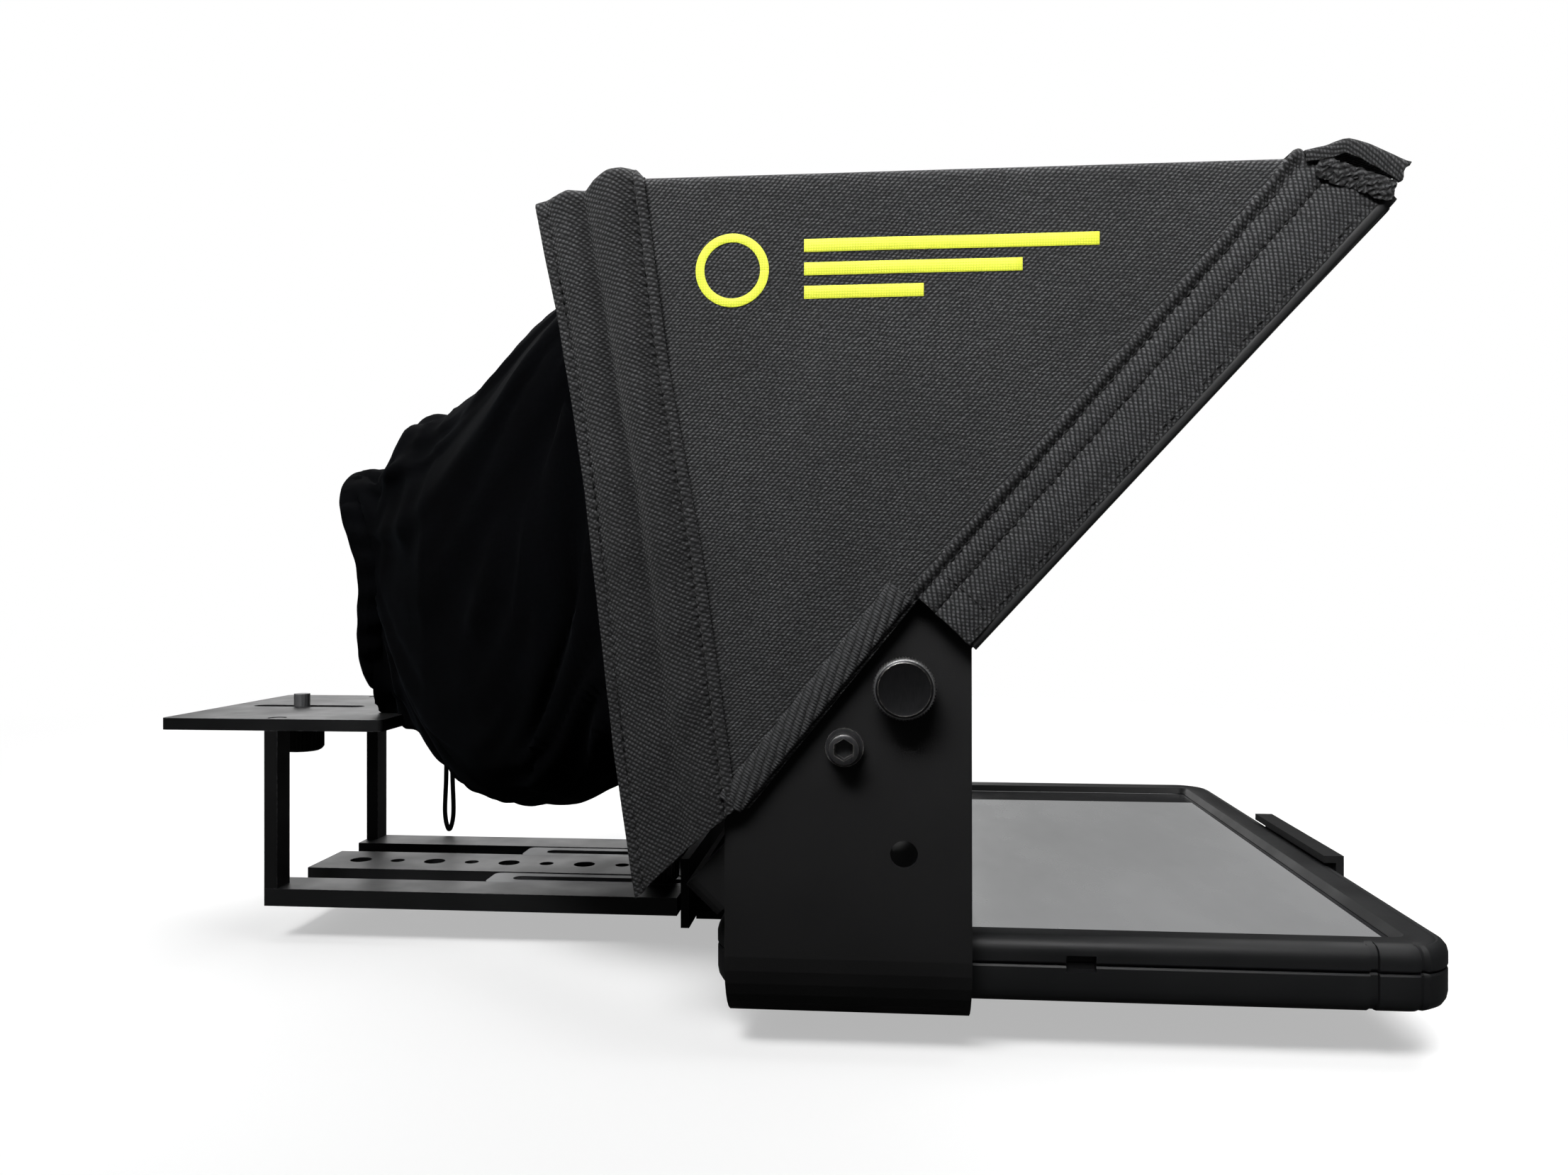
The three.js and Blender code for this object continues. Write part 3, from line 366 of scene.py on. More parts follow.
def display_glass(name):
    """Dark display glass; a glow ahead of the hood stands in for the pale room's reflection."""
    f = Finish(name, (0.02, 0.02, 0.02), 0.2)
    smears = f.noise(f.place(scale=(1, 0.4, 1)), 0.03, 5, 0.65)
    forwards = f.axes(f.place())[0]
    open_share = f.spread(forwards, SHADED_UP_TO + PLATE_MIDDLE, OPEN_FROM + PLATE_MIDDLE)
    f.surface(
        glow_color=(0.985, 0.995, 1, 1),
        glow=f.times(open_share, f.mottled(smears, 0.96, 1.04), ROOM_GLOW),
        color=f.tint(smears, (0.016, 0.016, 0.017), (0.026, 0.026, 0.028)),
        roughness=f.mottled(smears, 0.2, 0.34),
    )
    return f.material


def beam_splitter(name):
    """Clear glass that also mirrors part of what it sees.

    Light that a rough surface has scattered passes straight through, so it makes no bright specks.
    """
    f = Finish(name, (0.9, 0.94, 0.94), 0.02, 1.0)
    smears = f.noise(f.place(), 0.02, 4)
    f.surface(
        color=f.tint(smears, (0.78, 0.84, 0.86), (0.9, 0.93, 0.94)),
        roughness=f.spread(smears, 0.4, 0.8, 0.015, 0.05),
    )
    clear = f.add("BsdfTransparent", {"Color": (0.86, 0.9, 0.9, 1)})
    facing = f.add("LayerWeight", {"Blend": 0.35}).outputs["Facing"]
    scattered = f.add("LightPath").outputs["Is Diffuse Ray"]
    share = f.times(f.spread(facing, 0.0, 1.0, 0.22, 0.75), f.math("SUBTRACT", 1.0, scattered))
    f.mix_shaders(share, clear.outputs[0], f.shader.outputs[0])
    return f.material


def braid(name, color):
    f = Finish(name, color, 0.75)
    x, _, z = f.axes(f.place())
    twist = f.spread(f.math("SINE", f.times(f.math("ADD", x, z), 6.0)), -1, 1)
    f.surface(color=f.shades(twist, color, 0.6, 1.7))
    f.relief(twist, 0.15, 0.8)
    return f.material


def screen_print(name, color, thread_rate=4.5):
    """Ink printed over cloth: the weave still shows in it."""
    f = Finish(name, color, 0.6)
    x, _, z = f.axes(f.place())
    weave = f.times(f.ridges(x, thread_rate), f.ridges(z, thread_rate))
    f.surface(color=f.shades(weave, color, 0.72, 1))
    f.relief(weave, 0.08, 0.7)
    return f.material


CHARCOAL = (0.02, 0.0203, 0.021)
BARE_STEEL = (0.5, 0.48, 0.44)
RIB = 2.5
RIB_SLANT = 0.4
MAIN_CLOTH = twilled("main_cloth", scaled(CHARCOAL, 0.76), (0.71, -0.71), (0.1, 1.15))
REAR_CLOTH = twilled("rear_band_cloth", scaled(CHARCOAL, 0.62), (0.4, 0.8), (0.9, -0.5))
FRONT_CLOTH = twilled("front_band_cloth", scaled(CHARCOAL, 0.76), (0.88, 0.08), (0.12, 1.05))
WEBBING = ribbed("webbing", CHARCOAL, RIB, RIB_SLANT)
THREAD = moulded("thread", scaled(CHARCOAL, 0.12), 0.85)
# Darker strip along each side's front edge: painted shade, standing for the frame's dark side in shadow
# behind the hood's edge
EDGE_SHADE = moulded("edge_shade_strip", scaled(CHARCOAL, 0.6), 0.6, 0.8, 0.03)
STRAP = twilled("strap", scaled(CHARCOAL, 0.5), (0.9, 0.2), (0.3, 1.1))
FUZZ = twilled("fuzz", scaled(CHARCOAL, 0.6), (0.45, 0.3), (0.3, -0.5), 0.6)
WORN = black_oxide("worn_steel", (0.2, 0.2, 0.2), (0.6, 0.58, 0.55), 0.3)
VELVET = velvet("velvet", (0.0004, 0.0005, 0.0007))
POWDER = powder_coat("powder_coat", (0.0042, 0.0042, 0.0044), 0.62)
ANODISED = anodised("black_anodised", (0.012, 0.0123, 0.013), 0.42)
RISER = anodised("riser_anodised", (0.004, 0.0041, 0.0043), 0.5)
SATIN = anodised("satin_aluminium", (0.12, 0.122, 0.126), 0.48)
OXIDE = black_oxide("black_oxide", (0.014, 0.014, 0.015), BARE_STEEL)
PIVOT_STEEL = black_oxide("pivot_steel", (0.05, 0.05, 0.052), BARE_STEEL, 0.36)
PLASTIC = moulded("case_plastic", (0.0046, 0.0048, 0.0052), 0.5)
RUBBER = moulded("rubber", (0.012, 0.012, 0.012), 0.8, 0.9, 0.08)
TABLET_METAL = anodised("tablet_metal", (0.08, 0.08, 0.085), 0.35)
SCREEN = display_glass("screen_glass")
BORDER = moulded("screen_border", (0.008, 0.008, 0.009), 0.2, 0.2, 0.0)
GLASS = beam_splitter("coated_glass")
CORD = braid("cord", (0.012, 0.012, 0.013))
YELLOW = screen_print("yellow_ink", (0.62, 0.68, 0.022))

# ---------------------------------------------------------------- mesh helpers


def link(obj):
    bpy.context.scene.collection.objects.link(obj)
    return obj


def new_object(name, vertices, faces, material, uvs=None, smooth_faces=True):
    """A mesh from vertices in millimetres; uvs hold one pair of millimetres per vertex."""
    mesh = bpy.data.meshes.new(name)
    mesh.from_pydata([at(*v) for v in vertices], [], faces)
    if uvs is not None:
        layer = mesh.uv_layers.new(name="cloth")
        for loop in mesh.loops:
            layer.data[loop.index].uv = uvs[loop.vertex_index]
    mesh.polygons.foreach_set("use_smooth", [smooth_faces] * len(mesh.polygons))
    mesh.materials.append(material)
    return link(bpy.data.objects.new(name, mesh))


def grid_faces(rows, count, closed=True, looped=False):
    """Four-sided faces between rows of count points.

    A closed grid joins each row's ends, and a looped one joins its last row to its first.
    """
    faces = []
    total = rows * count
    for r in range(rows if looped else rows - 1):
        for i in range(count if closed else count - 1):
            a = r * count + i
            b = r * count + (i + 1) % count
            faces.append((a, b, (b + count) % total, (a + count) % total))
    return faces


def capped_faces(rows, count):
    """The faces of a tube through rows of count points, with both its ends closed."""
    last = (rows - 1) * count
    caps = [tuple(reversed(range(count))), tuple(range(last, last + count))]
    return grid_faces(rows, count) + caps


def bake(obj):
    """Replaces the mesh by what its modifiers make of it."""
    bpy.context.view_layer.update()
    evaluated = obj.evaluated_get(bpy.context.evaluated_depsgraph_get())
    mesh = bpy.data.meshes.new_from_object(evaluated)
    obj.modifiers.clear()
    obj.data = mesh
    return obj


def round_edges(obj, width, angle):
    """Rounds the edges sharper than an angle in degrees, by a width in millimetres."""
    bevel = obj.modifiers.new("edges", "BEVEL")
    bevel.width = width * MM
    bevel.segments = 2
    bevel.limit_method = "ANGLE"
    bevel.angle_limit = math.radians(angle)


def thicken(obj, thickness, rounded=True):
    solidify = obj.modifiers.new("thickness", "SOLIDIFY")
    solidify.thickness = thickness * MM
    solidify.offset = 0
    solidify.use_even_offset = True
    if rounded:
        round_edges(obj, thickness * 0.35, 50)
    return bake(obj)


def cloth_map(rows, level):
    """A pair of millimetres for each point, measured along its row and from row to row.

    A level map has threads that run along X: it is each point's X, and the way round from Z 0.
    """
    count = len(rows[0])
    pairs = []
    v = [p[2] for p in rows[0]] if level else [0.0] * count
    for r, row in enumerate(rows):
        before = rows[r - 1]
        if r and level:
            v = [past + max(abs(p[1] - q[1]), abs(p[2] - q[2])) for past, p, q in zip(v, row, before)]
        elif r:
            step = sum((Vector(p) - Vector(q)).length for p, q in zip(row, before)) / count
            v = [v[0] + step] * count
        u = 0.0
        for i, p in enumerate(row):
            if i:
                u += (Vector(p) - Vector(row[i - 1])).length
            pairs.append((p[0] if level else u, v[i]))
    return pairs


def sheet(name, rows, material, thickness, closed=False, flip=False, level=False):
    """A cloth sheet through rows of points; flip turns its faces over."""
    faces = grid_faces(len(rows), len(rows[0]), closed)
    if flip:
        faces = [quad[::-1] for quad in faces]
    vertices = [p for row in rows for p in row]
    obj = new_object(name, vertices, faces, material, cloth_map(rows, level))
    return thicken(obj, thickness) if thickness else obj


def crisp(obj, angle):
    """Smooth shading that keeps edges sharper than the angle."""
    sharp = math.radians(angle)
    bm = bmesh.new()
    bm.from_mesh(obj.data)
    for face in bm.faces:
        face.smooth = True
    for edge in bm.edges:
        if len(edge.link_faces) == 2 and edge.calc_face_angle(0) > sharp:
            edge.smooth = False
    bm.to_mesh(obj.data)
    bm.free()
    return obj


def turned(name, profile, centre, axis, material, segments):
    """A turned solid: profile lists (radius, distance along the axis) from end to end."""
    axis = Vector(axis).normalized()
    side = axis.orthogonal().normalized()
    other = axis.cross(side)
    vertices = []
    for radius, distance in profile:
        for i in range(segments):
            angle = 2 * math.pi * i / segments
            spoke = side * math.cos(angle) + other * math.sin(angle)
            vertices.append(Vector(centre) + axis * distance + spoke * radius)
    faces = capped_faces(len(profile), segments)
    return crisp(new_object(name, vertices, faces, material), 30)


def joined(name, objects):
    """One object from several."""
    with bpy.context.temp_override(
        active_object=objects[0], selected_editable_objects=objects, selected_objects=objects
    ):
        bpy.ops.object.join()
    objects[0].name = name
    objects[0].data.name = name
    return objects[0]


STITCH_PITCH = 3.0
STITCH_RINGS = [(-0.5, 0.35), (-0.3, 0.9), (0.0, 1.1), (0.3, 0.9), (0.5, 0.35)]  # place, size
STITCH_SIDES = 6
THREAD_RADIUS = 0.3
THREAD_LIFT = 0.12  # how far a stitch's middle stands off the cloth


def stitches(name, line, pitch=STITCH_PITCH, length=2.1):
    """A row of thread stitches along a line of points on one of the hood's sides."""
    points = [Vector(p) for p in line]
    lengths = [0.0]
    for a, b in zip(points, points[1:]):
        lengths.append(lengths[-1] + (b - a).length)
    vertices = []
    faces = []
    for n in range(int(lengths[-1] / pitch)):
        middle = (n + 0.5) * pitch
        k = next(i for i in range(1, len(lengths)) if lengths[i] >= middle)
        a, b = points[k - 1], points[k]
        way = (b - a).normalized()
        centre = a + way * (middle - lengths[k - 1])
        up = Vector((0, math.copysign(1, centre.y), 0))
        across = way.cross(up).normalized()
        centre += up * THREAD_LIFT
        start = len(vertices)
        for offset, size in STITCH_RINGS:
            sink = -0.35 * THREAD_RADIUS * abs(offset) * 4
            place = centre + way * offset * length + up * sink
            for i in range(STITCH_SIDES):
                angle = 2 * math.pi * i / STITCH_SIDES
                spoke = across * math.cos(angle) + up * math.sin(angle)
                vertices.append(place + spoke * THREAD_RADIUS * size)
        for face in capped_faces(len(STITCH_RINGS), STITCH_SIDES):
            faces.append(tuple(start + i for i in face))
    return new_object(name, vertices, faces, THREAD)


def ride(obj, body, slot, *replaced):
    """Fixes a piece to a body, with the CAD nodes it stands for; its material slot is not used."""
    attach(obj, body)
    if replaced:
        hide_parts(*replaced)


# ---------------------------------------------------------------- hood outlines, in X and Z

HOOD_HIGH = box_mm("hood_side_far")[1]
HOOD_Y = HOOD_HIGH.y - 0.6  # the main cloth's middle surface
HOOD_TOP = HOOD_HIGH.z
MAIN_FOOT = 56.5  # Z of the main cloth's lowest corner
REAR_FOOT = 31.5  # Z of the rear band's lowest corner
CORNER = 2.5  # radius of the fold from a side to the top
PUCKER = 0.36  # how far cloth is drawn up between stitches
ON_CLOTH = 0.55  # from the middle of a band's cloth to its surface
REAR_EDGE = [(REAR_FOOT, 82), (72, 76), (143, 68), (195, 60), (HOOD_TOP, 54)]  # (Z, X)
REAR_SEAM = [(MAIN_FOOT, 109.5), (126, 100), (176, 91), (HOOD_TOP, 84)]
LOWER_EDGE = [(REAR_FOOT, 82), (MAIN_FOOT, 110), (116, 158), (HOOD_TOP, 257)]
FRONT_BAND_INNER = (Vector((156.5, 115.5)), Vector((256, 229)))
FRONT_BAND_OUTER = (Vector((172.0, 101.0)), Vector((279.8, 219.0)))
# Outline of the darker edge strip of painted shade along each side's front edge
SHADE_STRIP_INNER = (Vector((171.6, 101.6)), Vector((279.2, 219.4)))
SHADE_STRIP_OUTER = (Vector((173.8, 99.6)), Vector((282.0, 217.0)))


def wave(x, y, scale, seed):
    """Smooth noise from -1 to 1."""
    return noise.noise(Vector((x * scale, y * scale, seed)))


def hood_wrap(side_line, u_count, side_count, top_count, y_half, puff):
    """Rows of points over the hood: up the near side, across the top and down the far side.

    side_line(u, t) gives X and Z on a side, from its lower edge at t 0 to the top line at t 1.
    puff(u, s, face) gives how far the cloth stands out; s runs 0 to 1 up a side or across the top.
    """
    corner_steps = 5
    reach_across = y_half - CORNER

    def corner_start(u):
        return 1 - CORNER / (side_line(u, 1)[1] - side_line(u, 0)[1])

    def side(t, sign):
        def make(u):
            reach = t * corner_start(u)
            x, z = side_line(u, reach)
            return (x, sign * (y_half + puff(u, reach, "side")), z)

        return make

    def corner(a, sign):
        def make(u):
            x, z = side_line(u, lerp(corner_start(u), 1, math.sin(a)))
            y = reach_across + (CORNER + puff(u, 1, "side")) * math.cos(a)
            return (x, sign * y, z)

        return make

    def top(s):
        def make(u):
            x, z = side_line(u, 1)
            edge = min(1.0, 8 * s, 8 * (1 - s))
            return (x, lerp(-reach_across, reach_across, s), z + edge * puff(u, s, "top"))

        return make

    def upwards(sign):
        straight = [side(i / (side_count - 1), sign) for i in range(side_count)]
        bend = range(1, corner_steps + 1)
        return straight + [corner(math.pi / 2 * i / corner_steps, sign) for i in bend]

    over = [top(i / top_count) for i in range(1, top_count)]
    makers = upwards(-1) + over + upwards(1)[::-1]
    return [[make(i / (u_count - 1)) for i in range(u_count)] for make in makers]


def main_ends(z):
    """The main cloth's rear and front ends at a height, tucked under the bands."""
    return along(REAR_SEAM, z) - 4, along(LOWER_EDGE, z) + 3


def main_line(u, t):
    z = lerp(MAIN_FOOT, HOOD_TOP, t)
    return lerp(*main_ends(z), u), z


def main_puff(u, s, face):
    """Tight cloth with slow waves: it bellies out a little and sags on top."""
    belly = math.sin(math.pi * u) * math.sin(math.pi * min(1, s * 1.1))
    if face == "top":
        return -2.2 * belly + 0.35 * wave(u * 170, s * 280, 0.03, 2)
    return 0.5 * belly + 0.3 * wave(u * 150, s * 170, 0.035, 5)


# How far the pleated rear band's top edge stands over the hood's top line, from its rear to its seam
REAR_CREST = [(0, -6.2), (0.2, -4.4), (0.3, -2.9), (0.46, -2.8), (0.56, -0.2), (0.7, 1.7), (0.8, 2.6)]
REAR_CREST += [(0.92, 2.4), (0.98, 0.3), (1, 0.2)]


def rear_line(u, t):
    """The rear band's outline: a straight slanting lower edge, and pleats that lift its top edge."""
    z = lerp(lerp(REAR_FOOT, MAIN_FOOT, u), HOOD_TOP, t)
    x = lerp(along(REAR_EDGE, z), along(REAR_SEAM, z), u)
    return x, z + along(REAR_CREST, u) * smooth((t - 0.7) / 0.3)


def pucker(s, run):
    """Cloth drawn up between stitches, s of the way up a run of millimetres."""
    return PUCKER * math.sin(s * run / STITCH_PITCH * 2 * math.pi)


def rear_puff(u, s, face):
    """Two soft pleats with a deep valley between them, and a stitched seam at the front edge."""
    if face == "top":
        return 0.9 + 0.5 * wave(u * 30, s * 280, 0.06, 8)
    rise = lerp(0.3, 1.0, smooth(s * 1.4))
    drift = 0.1 * (1 - s)
    rear_pleat = 2.3 * bump(u, 0.24 + drift, 0.12) - 0.7 * bump(u, 0.13, 0.03)
    valley = -2.0 * bump(u, 0.44 + drift, 0.06)
    front_pleat = 4.4 * bump(u, 0.7, 0.15)
    seam = 1.0 * bump(u, 0.965, 0.035) - 1.1 * bump(u, 0.9, 0.022) - 0.5 * bump(u, 0.09, 0.02)
    ruffle = 0.6 * wave(u * 30, s * 200, 0.07, 3)
    drawn = pucker(s, 200) * (bump(u, 0.09, 0.04) + bump(u, 0.9, 0.06))
    return 1.0 + rise * (rear_pleat + valley + front_pleat) + seam + ruffle + drawn


def between(inner, outer, u, t):
    """X and Z at t along two lines, u of the way from the inner one to the outer one."""
    p = inner[0].lerp(inner[1], t).lerp(outer[0].lerp(outer[1], t), u)
    return p.x, p.y


def front_line(u, t):
    x, z = between(FRONT_BAND_INNER, FRONT_BAND_OUTER, u, t)
    return x, z + 1.9 * bump(u, 0.07, 0.08) * smooth((t - 0.8) / 0.2)


def front_puff(u, s, face):
    """A folded band: a ridge where it joins the main cloth, and channels between its stitch rows."""
    ridge = 1.1 * bump(u, 0.03, 0.05) - 0.7 * bump(u, 0.14, 0.04)
    swell = 0.8 * bump(u, 0.28, 0.1) + 1.0 * bump(u, 0.68, 0.2) - 0.7 * bump(u, 0.42, 0.025)
    hem = 0.5 * (1 - smooth((s - 0.02) / 0.05)) if face == "side" else 0.0
    ruffle = 0.3 * wave(u * 24, s * 160, 0.08, 11)
    drawn = bump(u, 0.14, 0.05) + bump(u, 0.42, 0.05) + bump(u, 0.93, 0.04)
    return 1.1 + ridge + swell + hem + ruffle + pucker(s, 160) * drawn


def shade_strip_line(u, t):
    return between(SHADE_STRIP_INNER, SHADE_STRIP_OUTER, u, t)


def shade_strip_puff(u, s, face):
    return 0.5 + 0.9 * math.sin(math.pi * min(1, u * 1.15)) ** 0.5 if u < 0.87 else 0.5


def seam_lines(line, puff, u, low=0.02, high=0.97, samples=60):
    """The same seam on both sides of the hood, at a fixed u."""
    lines = []
    for _, sign in SIDES:
        points = []
        for i in range(samples):
            t = lerp(low, high, i / (samples - 1))
            x, z = line(u, t)
            points.append((x, sign * (HOOD_Y + puff(u, t, "side") + ON_CLOTH), z))
        lines.append(points)
    return lines


def hem_line(sign, t=0.06, samples=12):
    """The stitched hem across the front band's lower end."""
    points = []
    for i in range(samples):
        u = lerp(0.2, 0.94, i / (samples - 1))
        x, z = front_line(u, t)
        points.append((x, sign * (HOOD_Y + front_puff(u, t, "side") + ON_CLOTH), z))
    return points


def on_hood(name, pieces):
    """Joins pieces into one and fixes it to the hood."""
    ride(joined(name, pieces), "glass_frame", "hood_cloth")


def build_hood():
    panels = (
        ("hood_main_cloth", hood_wrap(main_line, 60, 70, 60, HOOD_Y, main_puff), MAIN_CLOTH, 1.0),
        ("hood_rear_band", hood_wrap(rear_line, 60, 250, 80, HOOD_Y, rear_puff), REAR_CLOTH, 1.1),
        ("hood_front_band", hood_wrap(front_line, 48, 220, 80, HOOD_Y, front_puff), FRONT_CLOTH, 1.1),
        # the edge strip's darker colour is painted shade of the frame's side behind the hood's edge
        ("hood_edge_shade_strip", hood_wrap(shade_strip_line, 9, 60, 60, HOOD_Y - 0.2, shade_strip_puff), EDGE_SHADE, 0.8),
    )
    for name, rows, cloth, thickness in panels:
        ride(sheet(name, rows, cloth, thickness, level=True), "glass_frame", "hood_cloth")
    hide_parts("hood_side_near", "hood_side_far", "hood_top")
    seams = []
    for u in (0.09, 0.9):
        seams += seam_lines(rear_line, rear_puff, u, low=0.04)
    for u in (0.14, 0.42, 0.93):
        seams += seam_lines(front_line, front_puff, u, high=0.95)
    made = [stitches(f"row_{i}", seam) for i, seam in enumerate(seams)]
    for _, sign in SIDES:
        made.append(stitches(f"hem_{sign}", hem_line(sign), pitch=2.4, length=1.7))
    on_hood("hood_stitching", made)


WEBBING_LINE = (Vector((110.0, 56.0)), Vector((156.0, 113.6)))
WEBBING_ACROSS = (-0.8, 6.2)  # from the webbing's outer edge to its inner one
WEBBING_LONG, WEBBING_WIDE = 149, 35  # steps along and across it


def build_webbing():
    """A coarse ribbed strip along the slanting lower edge of each side, where the hood hooks on."""
    pieces = []
    start, end = WEBBING_LINE
    length = (end - start).length
    way = (end - start).normalized()
    inward = Vector((-way.y, way.x))
    for _, sign in SIDES:
        rows = []
        for i in range(WEBBING_LONG + 1):
            t = i / WEBBING_LONG
            middle = start.lerp(end, t)
            row = []
            for j in range(WEBBING_WIDE + 1):
                across = lerp(*WEBBING_ACROSS, j / WEBBING_WIDE)
                p = middle + inward * (across + 0.15 * wave(i, j, 0.15, 4))
                rib = 0.4 * abs(math.sin((across + 0.8 - t * length * RIB_SLANT) * math.pi / RIB))
                crown = 0.8 * math.sin(math.pi * (j / WEBBING_WIDE)) ** 0.4
                row.append((p.x, sign * (HOOD_Y + 1.2 + crown + rib), p.y))
            rows.append(row)
        pieces.append(sheet(f"webbing_{sign}", rows, WEBBING, 0.8))
    on_hood("hood_webbing", pieces)


TAB_CREST = [(258, 229.0), (264.3, 230.4), (268.3, 232.0), (273.3, 230.4), (283.8, 225.4)]  # (X, Z)
PATCH_LINE = (Vector((261.5, 227.8)), Vector((280.5, 220.4)))
PATCH_DROP = Vector((-1.6, -5.6))
TAB_LONG, STRAP_WIDE, PATCH_WIDE = 29, 21, 13  # steps along a tab, and across its strap and patch


def build_tabs():
    """A strap folded over each upper front corner, and a patch of fuzzy loops beside it."""
    pieces = []
    for _, sign in SIDES:
        strap = []
        patch = []
        for i in range(TAB_LONG + 1):
            t = i / TAB_LONG
            x = lerp(TAB_CREST[0][0], TAB_CREST[-1][0], t)
            crest = along(TAB_CREST, x)
            row = []
            for j in range(STRAP_WIDE + 1):
                a = j / STRAP_WIDE
                drop = (3.2 + 2.2 * t) * smooth((0.3 - a) / 0.3)
                y = HOOD_Y + 2.6 - 26 * max(0.0, a - 0.22)
                fray = (DRAWS.random() - 0.5) * smooth((t - 0.9) / 0.1)
                lift = 0.15 * wave(i, j, 0.3, 5)
                row.append((x - 0.5 * drop * t + fray, sign * y, crest - drop + lift))
            strap.append(row)
            row = []
            for j in range(PATCH_WIDE + 1):
                a = j / PATCH_WIDE
                fray = 0.8 * (DRAWS.random() - 0.5)
                place = PATCH_LINE[0].lerp(PATCH_LINE[1], t) + PATCH_DROP * a
                loops = 0.7 * DRAWS.random() * math.sin(math.pi * a)
                row.append((place.x + fray, sign * (HOOD_Y + 2.9 + loops), place.y + fray * 0.6))
            patch.append(row)
        pieces.append(sheet(f"strap_{sign}", strap, STRAP, 1.1, flip=sign > 0))
        pieces.append(sheet(f"patch_{sign}", patch, FUZZ, 0, flip=sign > 0))
    on_hood("hood_corner_tabs", pieces)


INK = 0.12  # thickness of the printed ink
ON_MAIN = 0.62  # from the middle of the main cloth to the middle of the ink
PRINT_START = 128  # X where the bars start
# Each bar's name, the X where it ends, and its lower and upper Z
PRINT_BARS = [("long", 206, 206.5, 210), ("middle", 186, 200.2, 203.7), ("short", 160, 193.9, 197.4)]
RING_X, RING_Z = 108.5, 202
RING_RADII = (7.6, 10.0)
BAR_STEPS, RING_STEPS = 24, 64


def build_print():
    """A plain yellow sign on the near side: a ring and three bars."""

    def on_side(x, z):
        left, right = main_ends(z)
        t = (z - MAIN_FOOT) / (HOOD_TOP - MAIN_FOOT)
        return (x, -(HOOD_Y + main_puff((x - left) / (right - left), t, "side") + ON_MAIN), z)

    pieces = []
    for name, x_end, low, high in PRINT_BARS:
        places = [lerp(PRINT_START, x_end, j / BAR_STEPS) for j in range(BAR_STEPS + 1)]
        rows = [[on_side(x, z) for x in places] for z in (low, high)]
        pieces.append(sheet(f"bar_{name}", rows, YELLOW, INK))
    ring = []
    for i in range(RING_STEPS + 1):
        angle = 2 * math.pi * i / RING_STEPS
        c, s = math.cos(angle), math.sin(angle)
        ring.append([on_side(RING_X + radius * c, RING_Z + radius * s) for radius in RING_RADII])
    pieces.append(sheet("ring", ring, YELLOW, INK))
    on_hood("hood_print", pieces)


# ---------------------------------------------------------------- lens shroud and collar

COLLAR_LOW, COLLAR_HIGH = box_mm("shroud_collar")
LENS_Z = (COLLAR_LOW.z + COLLAR_HIGH.z) / 2
COLLAR_R = (COLLAR_HIGH.z - COLLAR_LOW.z) / 2
# x, bottom, top, half width, squareness of the section
SHROUD_STATIONS = [
    (COLLAR_LOW.x + 1, LENS_Z - COLLAR_R, LENS_Z + COLLAR_R, COLLAR_R, 2.0),
    (COLLAR_HIGH.x + 1, 71.5, 164.5, 46, 2.0),
    (-40, 71, 173, 51, 2.3),
    (-30, 70, 187, 60, 2.5),
    (-18, 60, 189, 74, 2.4),
    (-6, 51.5, 193, 90, 2.4),
    (18, 44, 208, 110, 2.8),
    (42, 51, 218.5, 127, 3.8),
    (60, 60, 222, 134, 5.0),
    (72, 64, 223, 137.5, 8.0),
    (84, 66, 224.3, 139.2, 12.0),
]
SHROUD_REAR, SHROUD_FRONT = SHROUD_STATIONS[0][0], SHROUD_STATIONS[-1][0]
SHROUD_SPLIT = 4.0  # the rear piece ends and the front piece starts here
AROUND = 150  # points round the shroud
LENGTHS = 84  # steps along it
VELVET_THICKNESS = 1.4
# Creases that stand out from the velvet on each side: points in X and Z, height and width
CREASES = [
    ([(20, 112), (29, 132), (37, 142), (44, 133), (46, 118)], 5.0, 4.5),
    ([(46, 125), (46, 103), (42, 86), (44, 68), (52, 58)], 5.0, 4.5),
    ([(-46, 161), (-36, 161), (-26, 166), (-19, 172), (-15, 184)], 4.0, 4.0),
    ([(-20, 168), (-17, 156), (-18, 138)], 3.5, 4.0),
    ([(-34, 74), (-18, 66), (0, 62), (22, 56)], 3.0, 6.0),
    ([(60, 200), (62, 170), (66, 140), (64, 110)], 3.0, 5.0),
]


def shroud_station(x):
    """The section at x, smoothed between the stations."""
    stations = SHROUD_STATIONS
    x = min(max(x, SHROUD_REAR), SHROUD_FRONT)
    k = next(i for i in range(1, len(stations)) if x <= stations[i][0])
    p1, p2 = stations[k - 1], stations[k]
    p0 = stations[max(k - 2, 0)]
    p3 = stations[min(k + 1, len(stations) - 1)]
    t = (x - p1[0]) / (p2[0] - p1[0])
    return [curve_between(*values, t) for values in zip(p0[1:], p1[1:], p2[1:], p3[1:])]


def collar_shift(z):
    """How far the collar stands ahead of its CAD ring: its top and bottom droop back over the lens."""
    height = (z - LENS_Z) / COLLAR_R
    return 15 - 17 * smooth(height) - 6 * smooth(-height)


def lean(x, z):
    """How far the cloth's section is pushed forwards at a height, at its front and at its collar."""
    front = smooth((x - 56) / 28) * lerp(8.0, -4.0, (z - 46) / 178)
    return front + collar_shift(z) * (1 - smooth((x - COLLAR_LOW.x - 2) / 36))


def crease_height(x, z):
    """How far the creases lift the cloth at a place on its side."""
    total = 0.0
    here = Vector((x, z))
    for points, height, width in CREASES:
        nearest = 1e9
        for a, b in zip(points, points[1:]):
            a, b = Vector(a), Vector(b)
            reach = (b - a).length_squared
            t = min(1.0, max(0.0, (here - a).dot(b - a) / reach))
            nearest = min(nearest, (here - a.lerp(b, t)).length)
        total = max(total, height * bump(nearest, 0, width))
    return total


